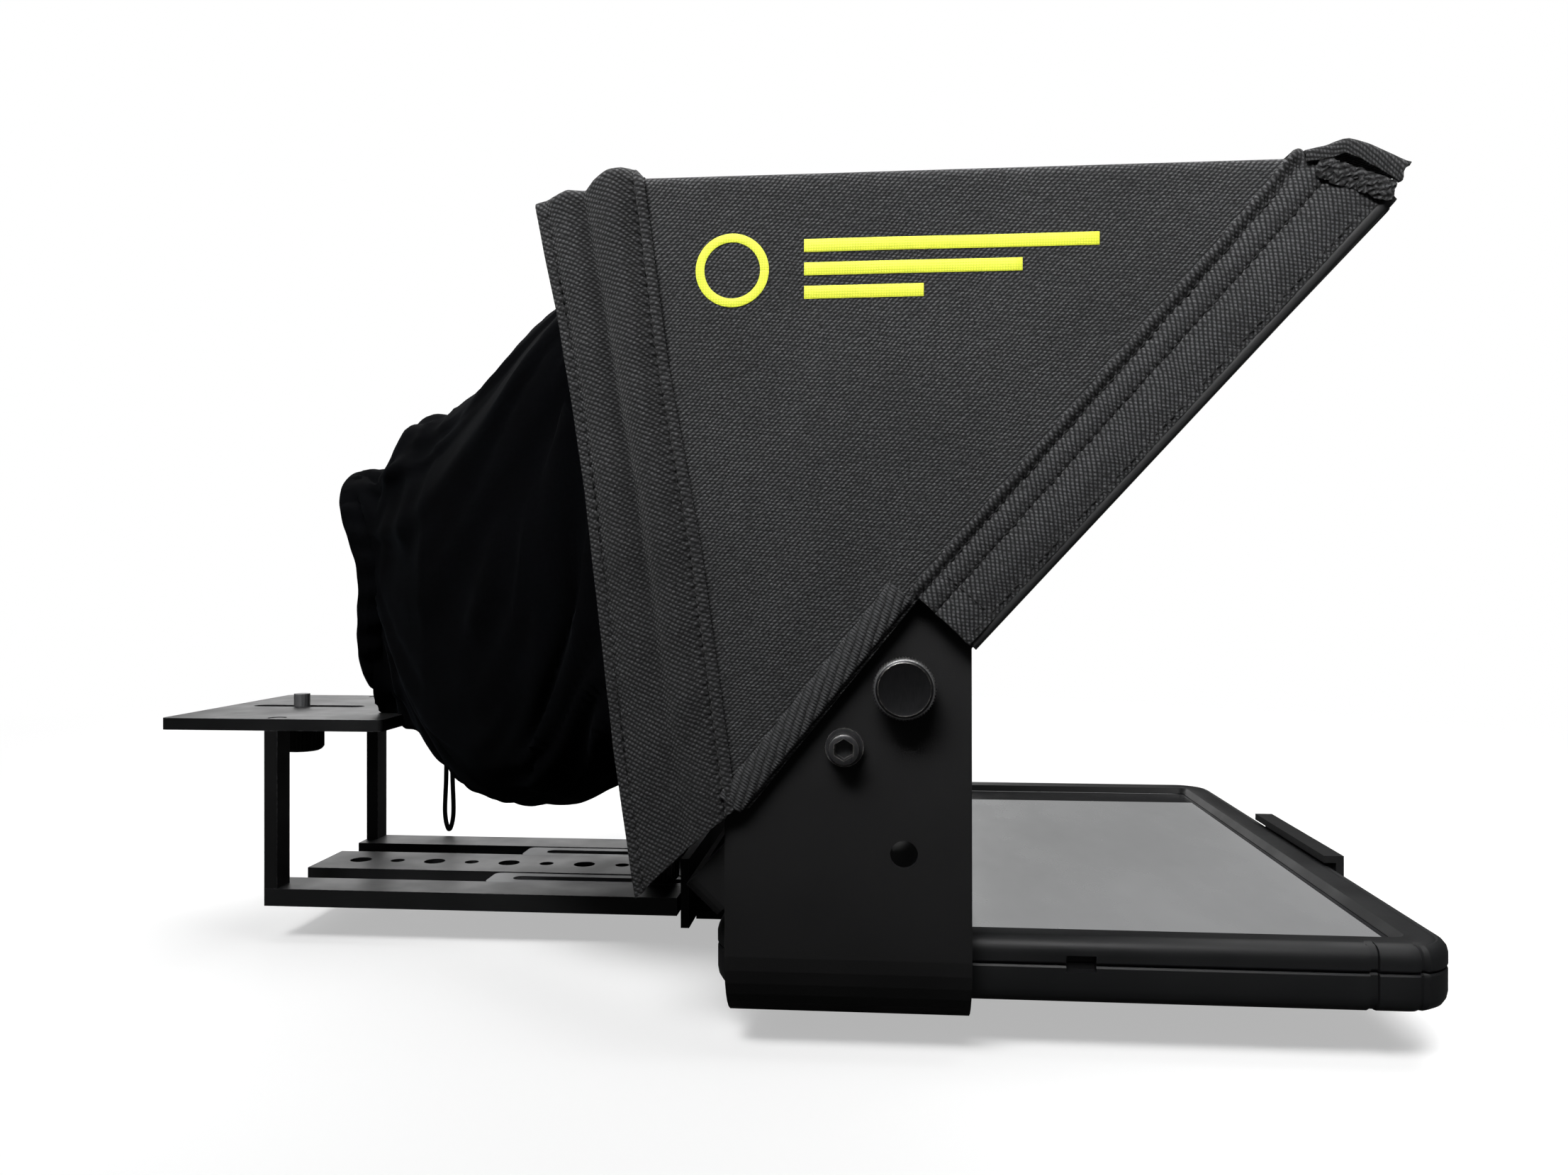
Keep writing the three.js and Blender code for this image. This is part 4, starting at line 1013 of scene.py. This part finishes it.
def shroud_folds(x, angle):
    """How far the velvet stands off its plain tube: gathers at the collar, long folds, sags."""
    t = (x - COLLAR_LOW.x) / (SHROUD_FRONT - COLLAR_LOW.x)
    near_collar = 1 - smooth((t - 0.06) / 0.4)
    near_hood = smooth((t - 0.75) / 0.25)
    middle = math.sin(math.pi * min(1, max(0, t)))
    gathers = 1.7 * math.sin(15 * angle + 2.2 * wave(x, angle * 20, 0.02, 1)) * near_collar
    slant = angle + 1.1 * t
    folds = 5.0 * wave(math.cos(slant) * 60, math.sin(slant) * 60 + x * 0.25, 0.045, 4) * middle
    ripple = 2.2 * wave(x * 0.5, math.cos(slant * 3) * 70, 0.05, 9) * middle
    crown = 2.0 * bump(x, -25, 9) * bump(angle, math.pi / 2, 0.7)
    return gathers * smooth(t / 0.1) + crown + (folds + ripple) * (1 - near_hood)


def shroud_point(x, i, count):
    angle = 2 * math.pi * i / count
    bottom, top, half, square = shroud_station(x)
    c, s = math.cos(angle), math.sin(angle)
    height = (top - bottom) / 2
    plain_z = (top + bottom) / 2 + height * math.copysign(abs(s) ** (2 / square), s)
    stand = shroud_folds(x, angle)
    y = (half + stand + crease_height(x, plain_z)) * math.copysign(abs(c) ** (2 / square), c)
    height += stand
    z = (top + bottom) / 2 + height * math.copysign(abs(s) ** (2 / square), s)
    return Vector((x + lean(x, z), y, z))


DRAPE_FRAMES = 18
DRAPE_LIMIT = 9  # the farthest the hanging cloth may move
CLOTH_SETTINGS = {
    "quality": 6,
    "mass": 0.25,
    "tension_stiffness": 12,
    "compression_stiffness": 12,
    "shear_stiffness": 4,
    "bending_stiffness": 0.25,
    "air_damping": 2.0,
    "vertex_group_mass": "held",
    "pin_stiffness": 1.0,
    "shrink_min": -0.035,
}


def held_share(place):
    """1 where the shroud is held, at its collar and inside the hood, and 0 where it hangs free."""
    x = place.x / MM - PLATE_MIDDLE
    return max(1 - smooth((x - SHROUD_REAR) / 14), smooth((x - SHROUD_FRONT + 22) / 16))


def drape(obj):
    """Lets the cloth hang under its own weight from the places where it is held."""
    home = [v.co.copy() for v in obj.data.vertices]
    group = obj.vertex_groups.new(name="held")
    for vertex in obj.data.vertices:
        weight = held_share(vertex.co)
        if weight > 0:
            group.add([vertex.index], weight, "REPLACE")
    cloth = obj.modifiers.new("cloth", "CLOTH")
    for key, value in CLOTH_SETTINGS.items():
        setattr(cloth.settings, key, value)
    cloth.collision_settings.use_collision = False
    cloth.point_cache.frame_start = 1
    cloth.point_cache.frame_end = DRAPE_FRAMES
    for frame_number in range(1, DRAPE_FRAMES + 1):
        bpy.context.scene.frame_set(frame_number)
    bake(obj)
    limit = DRAPE_LIMIT * MM
    for vertex, start in zip(obj.data.vertices, home):
        move = vertex.co - start
        if move.length > limit:
            vertex.co = start + move * (limit / move.length)


def build_shroud():
    """The velvet tube from the collar to the hood, draped and cut in two."""
    rows = []
    for r in range(LENGTHS + 1):
        x = lerp(SHROUD_REAR, SHROUD_FRONT, r / LENGTHS)
        rows.append([tuple(shroud_point(x, i, AROUND)) for i in range(AROUND)])
    tube = sheet("lens_shroud_cloth", rows, VELVET, 0, closed=True)
    drape(tube)
    points = []
    for vertex in tube.data.vertices:
        place = vertex.co / MM
        points.append((place.x - PLATE_MIDDLE, place.y, place.z))
    bpy.data.objects.remove(tube)
    rows = [points[r * AROUND : (r + 1) * AROUND] for r in range(LENGTHS + 1)]
    ring = round(LENGTHS * (SHROUD_SPLIT - SHROUD_REAR) / (SHROUD_FRONT - SHROUD_REAR))
    split = lerp(SHROUD_REAR, SHROUD_FRONT, ring / LENGTHS)
    halves = (
        ("shroud_rear", rows[: ring + 1], ("base_plate", "carriage"), SHROUD_REAR + 14, split - 10),
        ("shroud_front", rows[ring:], ("carriage", "glass_frame"), split + 10, SHROUD_FRONT - 6),
    )
    for name, half_rows, bodies, start, end in halves:
        half = sheet(name, half_rows, VELVET, 0, closed=True)
        crisp(thicken(half, VELVET_THICKNESS, rounded=False), 70)
        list(bodies)
        at(start, 0, LENS_Z)
        at(end, 0, LENS_Z)
        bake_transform(half)
    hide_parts("lens_shroud")


def build_collar():
    """A rolled hem, gathered by the drawstring that runs inside it."""
    rows = []
    around = 180
    hem = 11
    for k in range(hem + 1):
        a = 2 * math.pi * k / hem
        row = []
        for i in range(around):
            angle = 2 * math.pi * i / around
            gather = 0.8 * math.sin(26 * angle) + 0.5 * wave(angle * 30, k, 0.2, 6)
            r = COLLAR_R - 1.6 + (2.3 + 0.4 * gather) * math.cos(a) + 0.5 * gather
            x = COLLAR_LOW.x + 4.6 - 5.0 * math.sin(a) + 0.5 * gather
            z = LENS_Z + r * math.sin(angle)
            row.append((x + collar_shift(z), r * math.cos(angle), z))
        rows.append(row)
    collar = sheet("shroud_hem", rows, VELVET, 0, closed=True)
    ride(collar, "base_plate", "shroud_velvet", "shroud_collar")


def tube_along(name, points, radius, material):
    """A round cord along a line of points."""
    curve = bpy.data.curves.new(name, "CURVE")
    curve.dimensions = "3D"
    curve.bevel_depth = radius * MM
    curve.bevel_resolution = 2
    curve.use_fill_caps = True
    spline = curve.splines.new("POLY")
    spline.points.add(len(points) - 1)
    for target, p in zip(spline.points, points):
        target.co = (*at(*p), 1)
    obj = link(bpy.data.objects.new(name, curve))
    obj.data.materials.append(material)
    mesh = bpy.data.meshes.new_from_object(obj.evaluated_get(bpy.context.evaluated_depsgraph_get()))
    bpy.data.objects.remove(obj)
    return link(bpy.data.objects.new(name, mesh))


def spline_points(control, steps=10):
    """A smooth line through control points."""
    points = [Vector(p) for p in control]
    padded = [points[0], *points, points[-1]]
    line = []
    for four in zip(padded, padded[1:], padded[2:], padded[3:]):
        line += [curve_between(*four, i / steps) for i in range(steps)]
    return [*line, points[-1]]


def build_drawstring():
    low, high = box_mm("cord_lock")
    x, y = (low.x + high.x) / 2, (low.y + high.y) / 2
    lock = (low.z + high.z) / 2
    hem = (COLLAR_LOW.x + COLLAR_HIGH.x) / 2 + collar_shift(90)
    strand = [
        (hem, 37, 91),
        (x - 3, 47.5, 77),
        (x - 1.3, y, high.z + 3),
        (x - 1.1, y, lock),
        (x - 1.4, y, 32),
        (x - 1.9, y, 15),
        (x, y, 7.9),
        (x + 1.9, y, 15),
        (x + 1.5, y, 32),
        (x + 1.1, y, lock),
        (x + 1.4, y, high.z + 3),
        (x - 1, 50.5, 80),
        (hem + 2, 41, 96),
    ]
    cord = tube_along("drawstring_cord", spline_points(strand), 1.0, CORD)
    ride(cord, "base_plate", "black_cord", "drawstring")
    body = [(2.6, low.z), (4.4, low.z), (5.0, low.z + 0.8), (5.0, low.z + 7.2), (4.5, low.z + 7.6)]
    body += [(4.5, low.z + 8.2), (5.0, low.z + 8.6), (4.6, high.z), (2.6, high.z), (2.6, low.z)]
    toggle = turned("cord_toggle", body, (x, y, 0), (0, 0, 1), PLASTIC, 48)
    ride(toggle, "base_plate", "case_plastic", "cord_lock")


# ---------------------------------------------------------------- hardware


def knurled_head(profile, centre, axis, name, material, teeth, depth, r_from):
    """A turned piece whose outer wall, where the radius passes r_from, carries straight knurls."""
    obj = turned(name, profile, centre, axis, material, teeth * 4)
    middle = at(*centre)
    way = Vector(axis).normalized()
    side = way.orthogonal().normalized()
    for vertex in obj.data.vertices:
        spoke = vertex.co - middle
        spoke -= way * spoke.dot(way)
        if spoke.length / MM > r_from:
            angle = math.atan2(spoke.dot(way.cross(side)), spoke.dot(side))
            vertex.co += spoke.normalized() * depth * MM * math.cos(angle * teeth)
    return crisp(obj, 40)


def wear_rim(knob, centre, inner_radius, sign, inner_y):
    """Bright bare steel on the outer rim of a blackened knob's end."""
    knob.data.materials.append(WORN)
    middle = at(*centre)
    for face in knob.data.polygons:
        spoke = face.center - middle
        out = math.hypot(spoke.x, spoke.z) / MM > inner_radius
        if out and sign * spoke.y / MM > inner_y:
            face.material_index = 1


def lying_along_y(node):
    """The centre, radius, inner end and outer end of a screw that lies along Y."""
    low, high = box_mm(node)
    centre = ((low.x + high.x) / 2, 0, (low.z + high.z) / 2)
    tip, top = sorted((abs(low.y), abs(high.y)))
    return centre, (high.x - low.x) / 2, tip, top


def shank(tip, seat):
    """The profile of a screw's stem from its tip to its head."""
    return [(0.01, tip), (2.0, tip), (2.4, tip + 0.5), (2.4, seat)]


def build_thumbscrews():
    for side, sign in SIDES:
        node = f"tilt_thumbscrew_{side}"
        centre, r, tip, top = lying_along_y(node)
        seat = top - 8
        profile = shank(tip, seat) + [(r - 1.4, seat), (r - 0.9, seat + 0.4)]
        profile += [(r - 0.9, seat + 1.6), (r - 0.25, seat + 2.1), (r - 0.25, top - 1.3)]
        profile += [(r - 0.5, top - 0.7), (r - 0.9, top - 0.25), (r - 1.5, top)]
        profile += [(r - 2.2, top - 0.18), (0.01, top - 0.25)]
        name = f"tilt_knob_{side}"
        knob = knurled_head(profile, centre, (0, sign, 0), name, OXIDE, 60, 0.16, r - 0.4)
        wear_rim(knob, centre, r - 1.1, sign, top - 1.4)
        ride(knob, node, "black_steel", node)


HEX_REACH = 2.35  # from the middle of a hex socket to one of its flats
HEX_LEVELS = [(0.0, 1.08), (0.35, 1.0), (3.0, 1.0)]  # depth and width of the socket's mouth, lip and floor


def cut_hex_socket(screw, sign):
    """Opens a six-sided socket in a bolt's outer end."""
    cap = max(screw.data.polygons, key=lambda p: p.center.y * sign)
    bm = bmesh.new()
    bm.from_mesh(screw.data)
    bm.faces.ensure_lookup_table()
    end = bm.faces[cap.index]
    ring = list(end.verts)
    middle = sum((v.co for v in ring), Vector()) / len(ring)
    bm.faces.remove(end)
    sector = math.pi / 3
    loops = [ring]
    for depth, width in HEX_LEVELS:
        down = Vector((0, -sign * depth * MM, 0))
        level = []
        for v in ring:
            spoke = v.co - middle
            off = (math.atan2(spoke.z, spoke.x) + sector / 2) % sector - sector / 2
            reach = HEX_REACH * MM / math.cos(off) * width
            level.append(bm.verts.new(middle + spoke.normalized() * reach + down))
        loops.append(level)
    for a, b in zip(loops, loops[1:]):
        for i in range(len(ring)):
            j = (i + 1) % len(ring)
            bm.faces.new((a[i], a[j], b[j], b[i]))
    bm.faces.new(loops[-1])
    bmesh.ops.recalc_face_normals(bm, faces=bm.faces)
    bm.to_mesh(screw.data)
    bm.free()


def build_pivot_screws():
    for side, sign in SIDES:
        node = f"pivot_screw_{side}"
        centre, head, tip, top = lying_along_y(node)
        seat = top - 5
        profile = shank(tip, seat) + [(head - 0.4, seat), (head, seat + 0.3)]
        profile += [(head, top - 0.6), (head - 0.25, top - 0.2), (head - 0.7, top)]
        screw = turned(f"pivot_bolt_{side}", profile, centre, (0, sign, 0), PIVOT_STEEL, 72)
        cut_hex_socket(screw, sign)
        crisp(screw, 30)
        ride(screw, "carriage", "black_steel", node)


# CAD node, body, material slot, material, number of knurls, their depth, the bore's radius
ROUND_NUTS = [
    ("lock_nut_near", "lock_nut_near", "black_steel", OXIDE, 28, 0.35, 2.7),
    ("lock_nut_far", "lock_nut_far", "black_steel", OXIDE, 28, 0.35, 2.7),
    ("camera_screw_knob", "camera_screw", "black_powder_coat", POWDER, 36, 0.28, 3.4),
    ("clamp_lock_knob", "clamp_lock", "black_powder_coat", POWDER, 32, 0.35, 2.7),
]


def build_round_nuts():
    for node, body, slot, material, teeth, depth, bore in ROUND_NUTS:
        low, high = box_mm(node)
        centre = ((low.x + high.x) / 2, (low.y + high.y) / 2, 0)
        r = (high.x - low.x) / 2 - depth
        bottom, top = low.z, high.z
        profile = [(bore, bottom + 0.4), (bore + 0.5, bottom), (r - 1.6, bottom), (r - 0.5, bottom + 0.6)]
        profile += [(r, bottom + 1.6), (r, top - 1.4), (r - 0.5, top - 0.6), (r - 1.3, top)]
        profile += [(bore + 0.5, top), (bore, top - 0.4), (bore, bottom + 0.4)]
        name = f"{node}_turned"
        knob = knurled_head(profile, centre, (0, 0, 1), name, material, teeth, depth, r - 0.2)
        ride(knob, body, slot, node)


# ---------------------------------------------------------------- tablet in its case

PORT = (199.0, 207.0, 11.3, 15.7)  # the notch's X from and to, Z from and to
CASE_GROOVES = (280.0, 293.5)  # X of each
GROOVE_HALF = 1.2
CASE_CORNER = 15
HAIR = 0.04  # half the gap between two points that keep a notch's edge crisp


def rounded_path(x0, x1, y_half, radius, steps, straight):
    """Points round a rectangle with round corners, each with its outward direction."""
    corners = [
        (x1 - radius, -y_half + radius, -90),
        (x1 - radius, y_half - radius, 0),
        (x0 + radius, y_half - radius, 90),
        (x0 + radius, -y_half + radius, 180),
    ]
    path = []
    for k, (cx, cy, start) in enumerate(corners):
        for i in range(steps + 1):
            a = math.radians(start + 90 * i / steps)
            way = Vector((math.cos(a), math.sin(a)))
            path.append((Vector((cx, cy)) + way * radius, way))
        nx, ny, next_start = corners[(k + 1) % 4]
        a = math.radians(next_start)
        way = Vector((math.cos(a), math.sin(a)))
        end = Vector((nx, ny)) + way * radius
        begin = path[-1][0]
        for i in range(1, straight):
            path.append((begin.lerp(end, i / straight), way))
    return path


def with_steps(path, y_near, places):
    """Adds a pair of close points at each place in X along the near straight, for crisp notches."""
    path = list(path)
    for x in [place + shift for place in places for shift in (-HAIR, HAIR)]:
        for i in range(1, len(path)):
            (before, way_before), (after, way_after) = path[i - 1], path[i]
            if way_before.y < -0.999 and way_after.y < -0.999 and before.x < x < after.x:
                path.insert(i, (Vector((x, y_near)), Vector((0, -1))))
                break
    return path


def step(inset, z):
    """A pair of close points in a case's section, for a crisp notch."""
    return [(inset, z - HAIR), (inset, z + HAIR)]


def notched(point, way, inset, z):
    """The case's inset with two shallow grooves near a front corner and a notch for the port."""
    if way.y > -0.9 or inset > 5:
        return inset
    if PORT[0] < point.x < PORT[1] and PORT[2] < z < PORT[3]:
        return 3.2
    if any(abs(point.x - groove) < GROOVE_HALF for groove in CASE_GROOVES):
        return inset + 1.3
    return inset


def case_ring(name, path, profile):
    """One shell of the case: profile is its section, a closed list of (inset, z)."""
    vertices = []
    for point, way in path:
        for inset, z in profile:
            p = point - way * notched(point, way, inset, z)
            vertices.append((p.x, p.y, z))
    faces = grid_faces(len(path), len(profile), looped=True)
    return crisp(new_object(name, vertices, faces, PLASTIC), 32)


def build_tablet_case():
    low, high = box_mm("tablet_case_back")
    front_low, front_high = box_mm("tablet_case_front")
    screen_top = box_mm("tablet_screen")[1].z
    edges = (PORT[0], PORT[1], CASE_GROOVES[0] - GROOVE_HALF, CASE_GROOVES[0] + GROOVE_HALF)
    path = with_steps(rounded_path(low.x, high.x, high.y, CASE_CORNER, 24, 60), -high.y, edges)
    bottom, parting, seam, top = low.z, high.z, front_low.z, front_high.z
    inner = 10.2
    back = [(inner, bottom), (4.6, bottom), (3.0, bottom + 0.35), (1.4, bottom + 1.3)]
    back += [(0.5, bottom + 2.8), (0.15, bottom + 4.6), *step(0.15, PORT[2]), (0.15, parting - 0.6)]
    back += [(0.55, parting - 0.1), (1.6, parting), (inner, parting)]
    shell = case_ring("case_back_rim", path, back)
    margin = 9.5
    floor = rounded_path(low.x + margin, high.x - margin, high.y - margin, CASE_CORNER - margin, 10, 8)
    slab = [(p.x, p.y, z) for z in (bottom + 0.05, bottom + 3.6) for p, _ in floor]
    plate = new_object("case_back_floor", slab, capped_faces(2, len(floor)), PLASTIC)
    rear_shell = joined("tablet_case_rear_shell", [shell, plate])
    ride(rear_shell, "carriage", "case_plastic", "tablet_case_back")
    lip = 12.2
    front = [(inner, seam), (1.6, seam), (0.5, seam + 0.15), (0.1, seam + 0.7), *step(0.1, PORT[3])]
    front += [(0.1, top - 3.4), (0.5, top - 1.9), (1.4, top - 0.8), (2.6, top - 0.25)]
    front += [(3.2, top - 0.45), (3.8, top - 0.1), (5.0, top), (lip - 2.4, top), (lip - 1.2, top - 0.35)]
    front += [(lip + 0.6, screen_top + 0.25), (lip + 0.6, screen_top + 0.1), (inner, screen_top + 0.1)]
    bezel = case_ring("tablet_case_bezel", path, front)
    ride(bezel, "carriage", "case_plastic", "tablet_case_front")


def rectangle(x0, y0, x1, y1, z):
    return [(x0, y0, z), (x1, y0, z), (x1, y1, z), (x0, y1, z)]


def build_screen_border():
    """The display's dark border, a hair above the glass and wider beside the far edge."""
    low, high = box_mm("tablet_screen")
    lift = high.z + 0.03
    vertices = rectangle(low.x + 1, low.y + 1, high.x - 1, high.y - 1, lift)
    vertices += rectangle(low.x + 4, low.y + 4, high.x - 4, 96, lift)
    faces = grid_faces(2, 4)
    border = new_object("tablet_screen_border", vertices, faces, BORDER, smooth_faces=False)
    thicken(border, 0.04, rounded=False)
    ride(border, "carriage", "screen_glass")


# ---------------------------------------------------------------- CAD nodes that are shown as they are

# Each material, and how the names of the CAD nodes that have it start
CAD_FINISHES = [
    (ANODISED, "base_plate", "camera_platform"),
    (RISER, "riser_post"),
    (SATIN, "slide_arm", "camera_screw_stud"),
    (POWDER, "carriage_flange", "cradle_bracket", "glass_frame", "tablet_tray", "clamp_slider"),
    (OXIDE, "camera_screw_washer", "clamp_lock_stud", "clamp_guide_screw", "lock_stud"),
    (OXIDE, "riser_lower_screw", "riser_upper_screw", "arm_screw", "tray_screw"),
    (PIVOT_STEEL, "pivot_washer"),
    (GLASS, "beam_splitter_glass"),
    (RUBBER, "glass_retainer", "tray_pad"),
    (TABLET_METAL, "tablet_body"),
    (SCREEN, "tablet_screen"),
]
EDGE_ROUNDING = {"cradle_bracket": 0.5, "base_plate": 0.35, "glass_frame": 0.6, "beam_splitter_glass": 0.25}
USUAL_EDGE = 0.2


def finish_cad_nodes():
    """Gives each CAD node its material and a fine rounding on its sharp edges."""
    for name, node in NODES.items():
        found = [finish for finish, *starts in CAD_FINISHES if name.startswith(tuple(starts))]
        if not found or node.hide_render:
            continue
        node.data.materials.clear()
        node.data.materials.append(found[0])
        round_edges(node, EDGE_ROUNDING.get(name, USUAL_EDGE), 35)
        smooth_by_angle(node)


def edge_place(edge):
    """A key that edges in the same place share."""
    return tuple(sorted(tuple(round(c, 7) for c in v.co) for v in edge.verts))


def smooth_by_angle(node, angle=30):
    """Marks faces smooth and edges sharp by angle; the vertices stay where they are."""
    mesh = node.data
    limit = math.radians(angle)
    bm = bmesh.new()
    bm.from_mesh(mesh)
    normals = {}
    for face in bm.faces:
        for edge in face.edges:
            normals.setdefault(edge_place(edge), []).append(face.normal.copy())
    sharp = []
    for edge in bm.edges:
        here = normals[edge_place(edge)]
        sharp.append(len(here) < 2 or here[0].angle(here[-1], 0) > limit)
    bm.free()
    mesh.polygons.foreach_set("use_smooth", [True] * len(mesh.polygons))
    if len(sharp) == len(mesh.edges):
        attribute = mesh.attributes.get("sharp_edge") or mesh.attributes.new("sharp_edge", "BOOLEAN", "EDGE")
        attribute.data.foreach_set("value", sharp)


# ---------------------------------------------------------------- stage, lights and camera

FLOOR_Z = CAD_BOUNDS[0][2] / MM - 1.0
FLOOR_WHITE = (0.88, 0.88, 0.88)  # what the camera sees
FLOOR_UNSEEN = (0.05, 0.05, 0.05)  # what throws light back up at the object
SURROUND = 0.05  # brightness of the studio around the object; the camera sees a white backdrop


def floor_paint():
    """White paint for the camera, that melts into the backdrop; dark for all other light."""
    f = Finish("floor_paint", FLOOR_WHITE, 0.8)
    distance = f.add("VectorMath", {0: f.add("TexCoord").outputs["Object"]}, operation="LENGTH")
    seen = f.add("LightPath").outputs["Is Camera Ray"]
    f.surface(
        color=f.tint(seen, FLOOR_UNSEEN, FLOOR_WHITE),
        roughness=f.mottled(f.noise(f.place(), 0.01, 2), 0.7, 0.9),
        specular=0.05,
    )
    far = f.spread(distance.outputs["Value"], 0.35, 1.0, 0.45, 1.0)
    glow = f.add("Emission", {"Color": (1, 1, 1, 1), "Strength": 1.0})
    f.mix_shaders(f.times(far, seen), f.shader.outputs[0], glow.outputs[0])
    return f.material


def build_stage():
    bpy.ops.mesh.primitive_circle_add(vertices=96, radius=14, fill_type="NGON", location=at(0, 0, FLOOR_Z))
    floor = bpy.context.object
    floor.name = "floor"
    floor.data.materials.append(floor_paint())
    world = bpy.data.worlds.new("studio")
    bpy.context.scene.world = world
    world.use_nodes = True
    tree = world.node_tree
    sky = tree.nodes["Background"]
    sky.inputs[0].default_value = (1, 1, 1, 1)
    path = tree.nodes.new("ShaderNodeLightPath")
    level = tree.nodes.new("ShaderNodeMapRange")
    level.inputs["To Min"].default_value = SURROUND
    level.inputs["To Max"].default_value = 1.0
    tree.links.new(path.outputs["Is Camera Ray"], level.inputs["Value"])
    tree.links.new(level.outputs[0], sky.inputs[1])
    bpy.context.scene.view_settings.view_transform = "Standard"


def area_light(name, place, target, size, power, spread=180):
    data = bpy.data.lights.new(name, "AREA")
    data.shape = "RECTANGLE"
    data.size, data.size_y = size
    data.energy = power
    data.spread = math.radians(spread)
    light = link(bpy.data.objects.new(name, data))
    light.location = at(*place)
    light.rotation_euler = (at(*target) - light.location).to_track_quat("-Z", "Y").to_euler()


def build_lights():
    middle = (100, 0, 100)
    area_light("key", (40, -560, 660), (170, -141, 262), (0.6, 0.3), 1.7, 43)
    area_light("side", (-900, -1100, 1200), middle, (0.9, 0.9), 2.1)
    area_light("fill", (1300, -900, 500), middle, (1.0, 1.0), 1)
    area_light("top", (200, 300, 1500), middle, (1.6, 1.6), 34)
    area_light("rim", (-300, 1300, 700), middle, (1.2, 0.8), 7)


EYE = (150.2, -458.0, 116.2)
LENS_MM = 27.0
PAN = 5.0  # degrees to the left, so that the whole object is in the frame


def build_camera():
    data = bpy.data.cameras.new("camera")
    data.sensor_width = 36
    data.lens = LENS_MM
    data.clip_start = 0.01
    camera = link(bpy.data.objects.new("camera", data))
    camera.location = at(*EYE)
    camera.rotation_euler = (math.radians(90), 0, math.radians(PAN))
    bpy.context.scene.camera = camera


# ---------------------------------------------------------------- the whole

build_hood()
build_webbing()
build_tabs()
build_print()
build_shroud()
build_collar()
build_drawstring()
build_thumbscrews()
build_pivot_screws()
build_round_nuts()
build_tablet_case()
build_screen_border()
finish_cad_nodes()
build_stage()
build_lights()
build_camera()
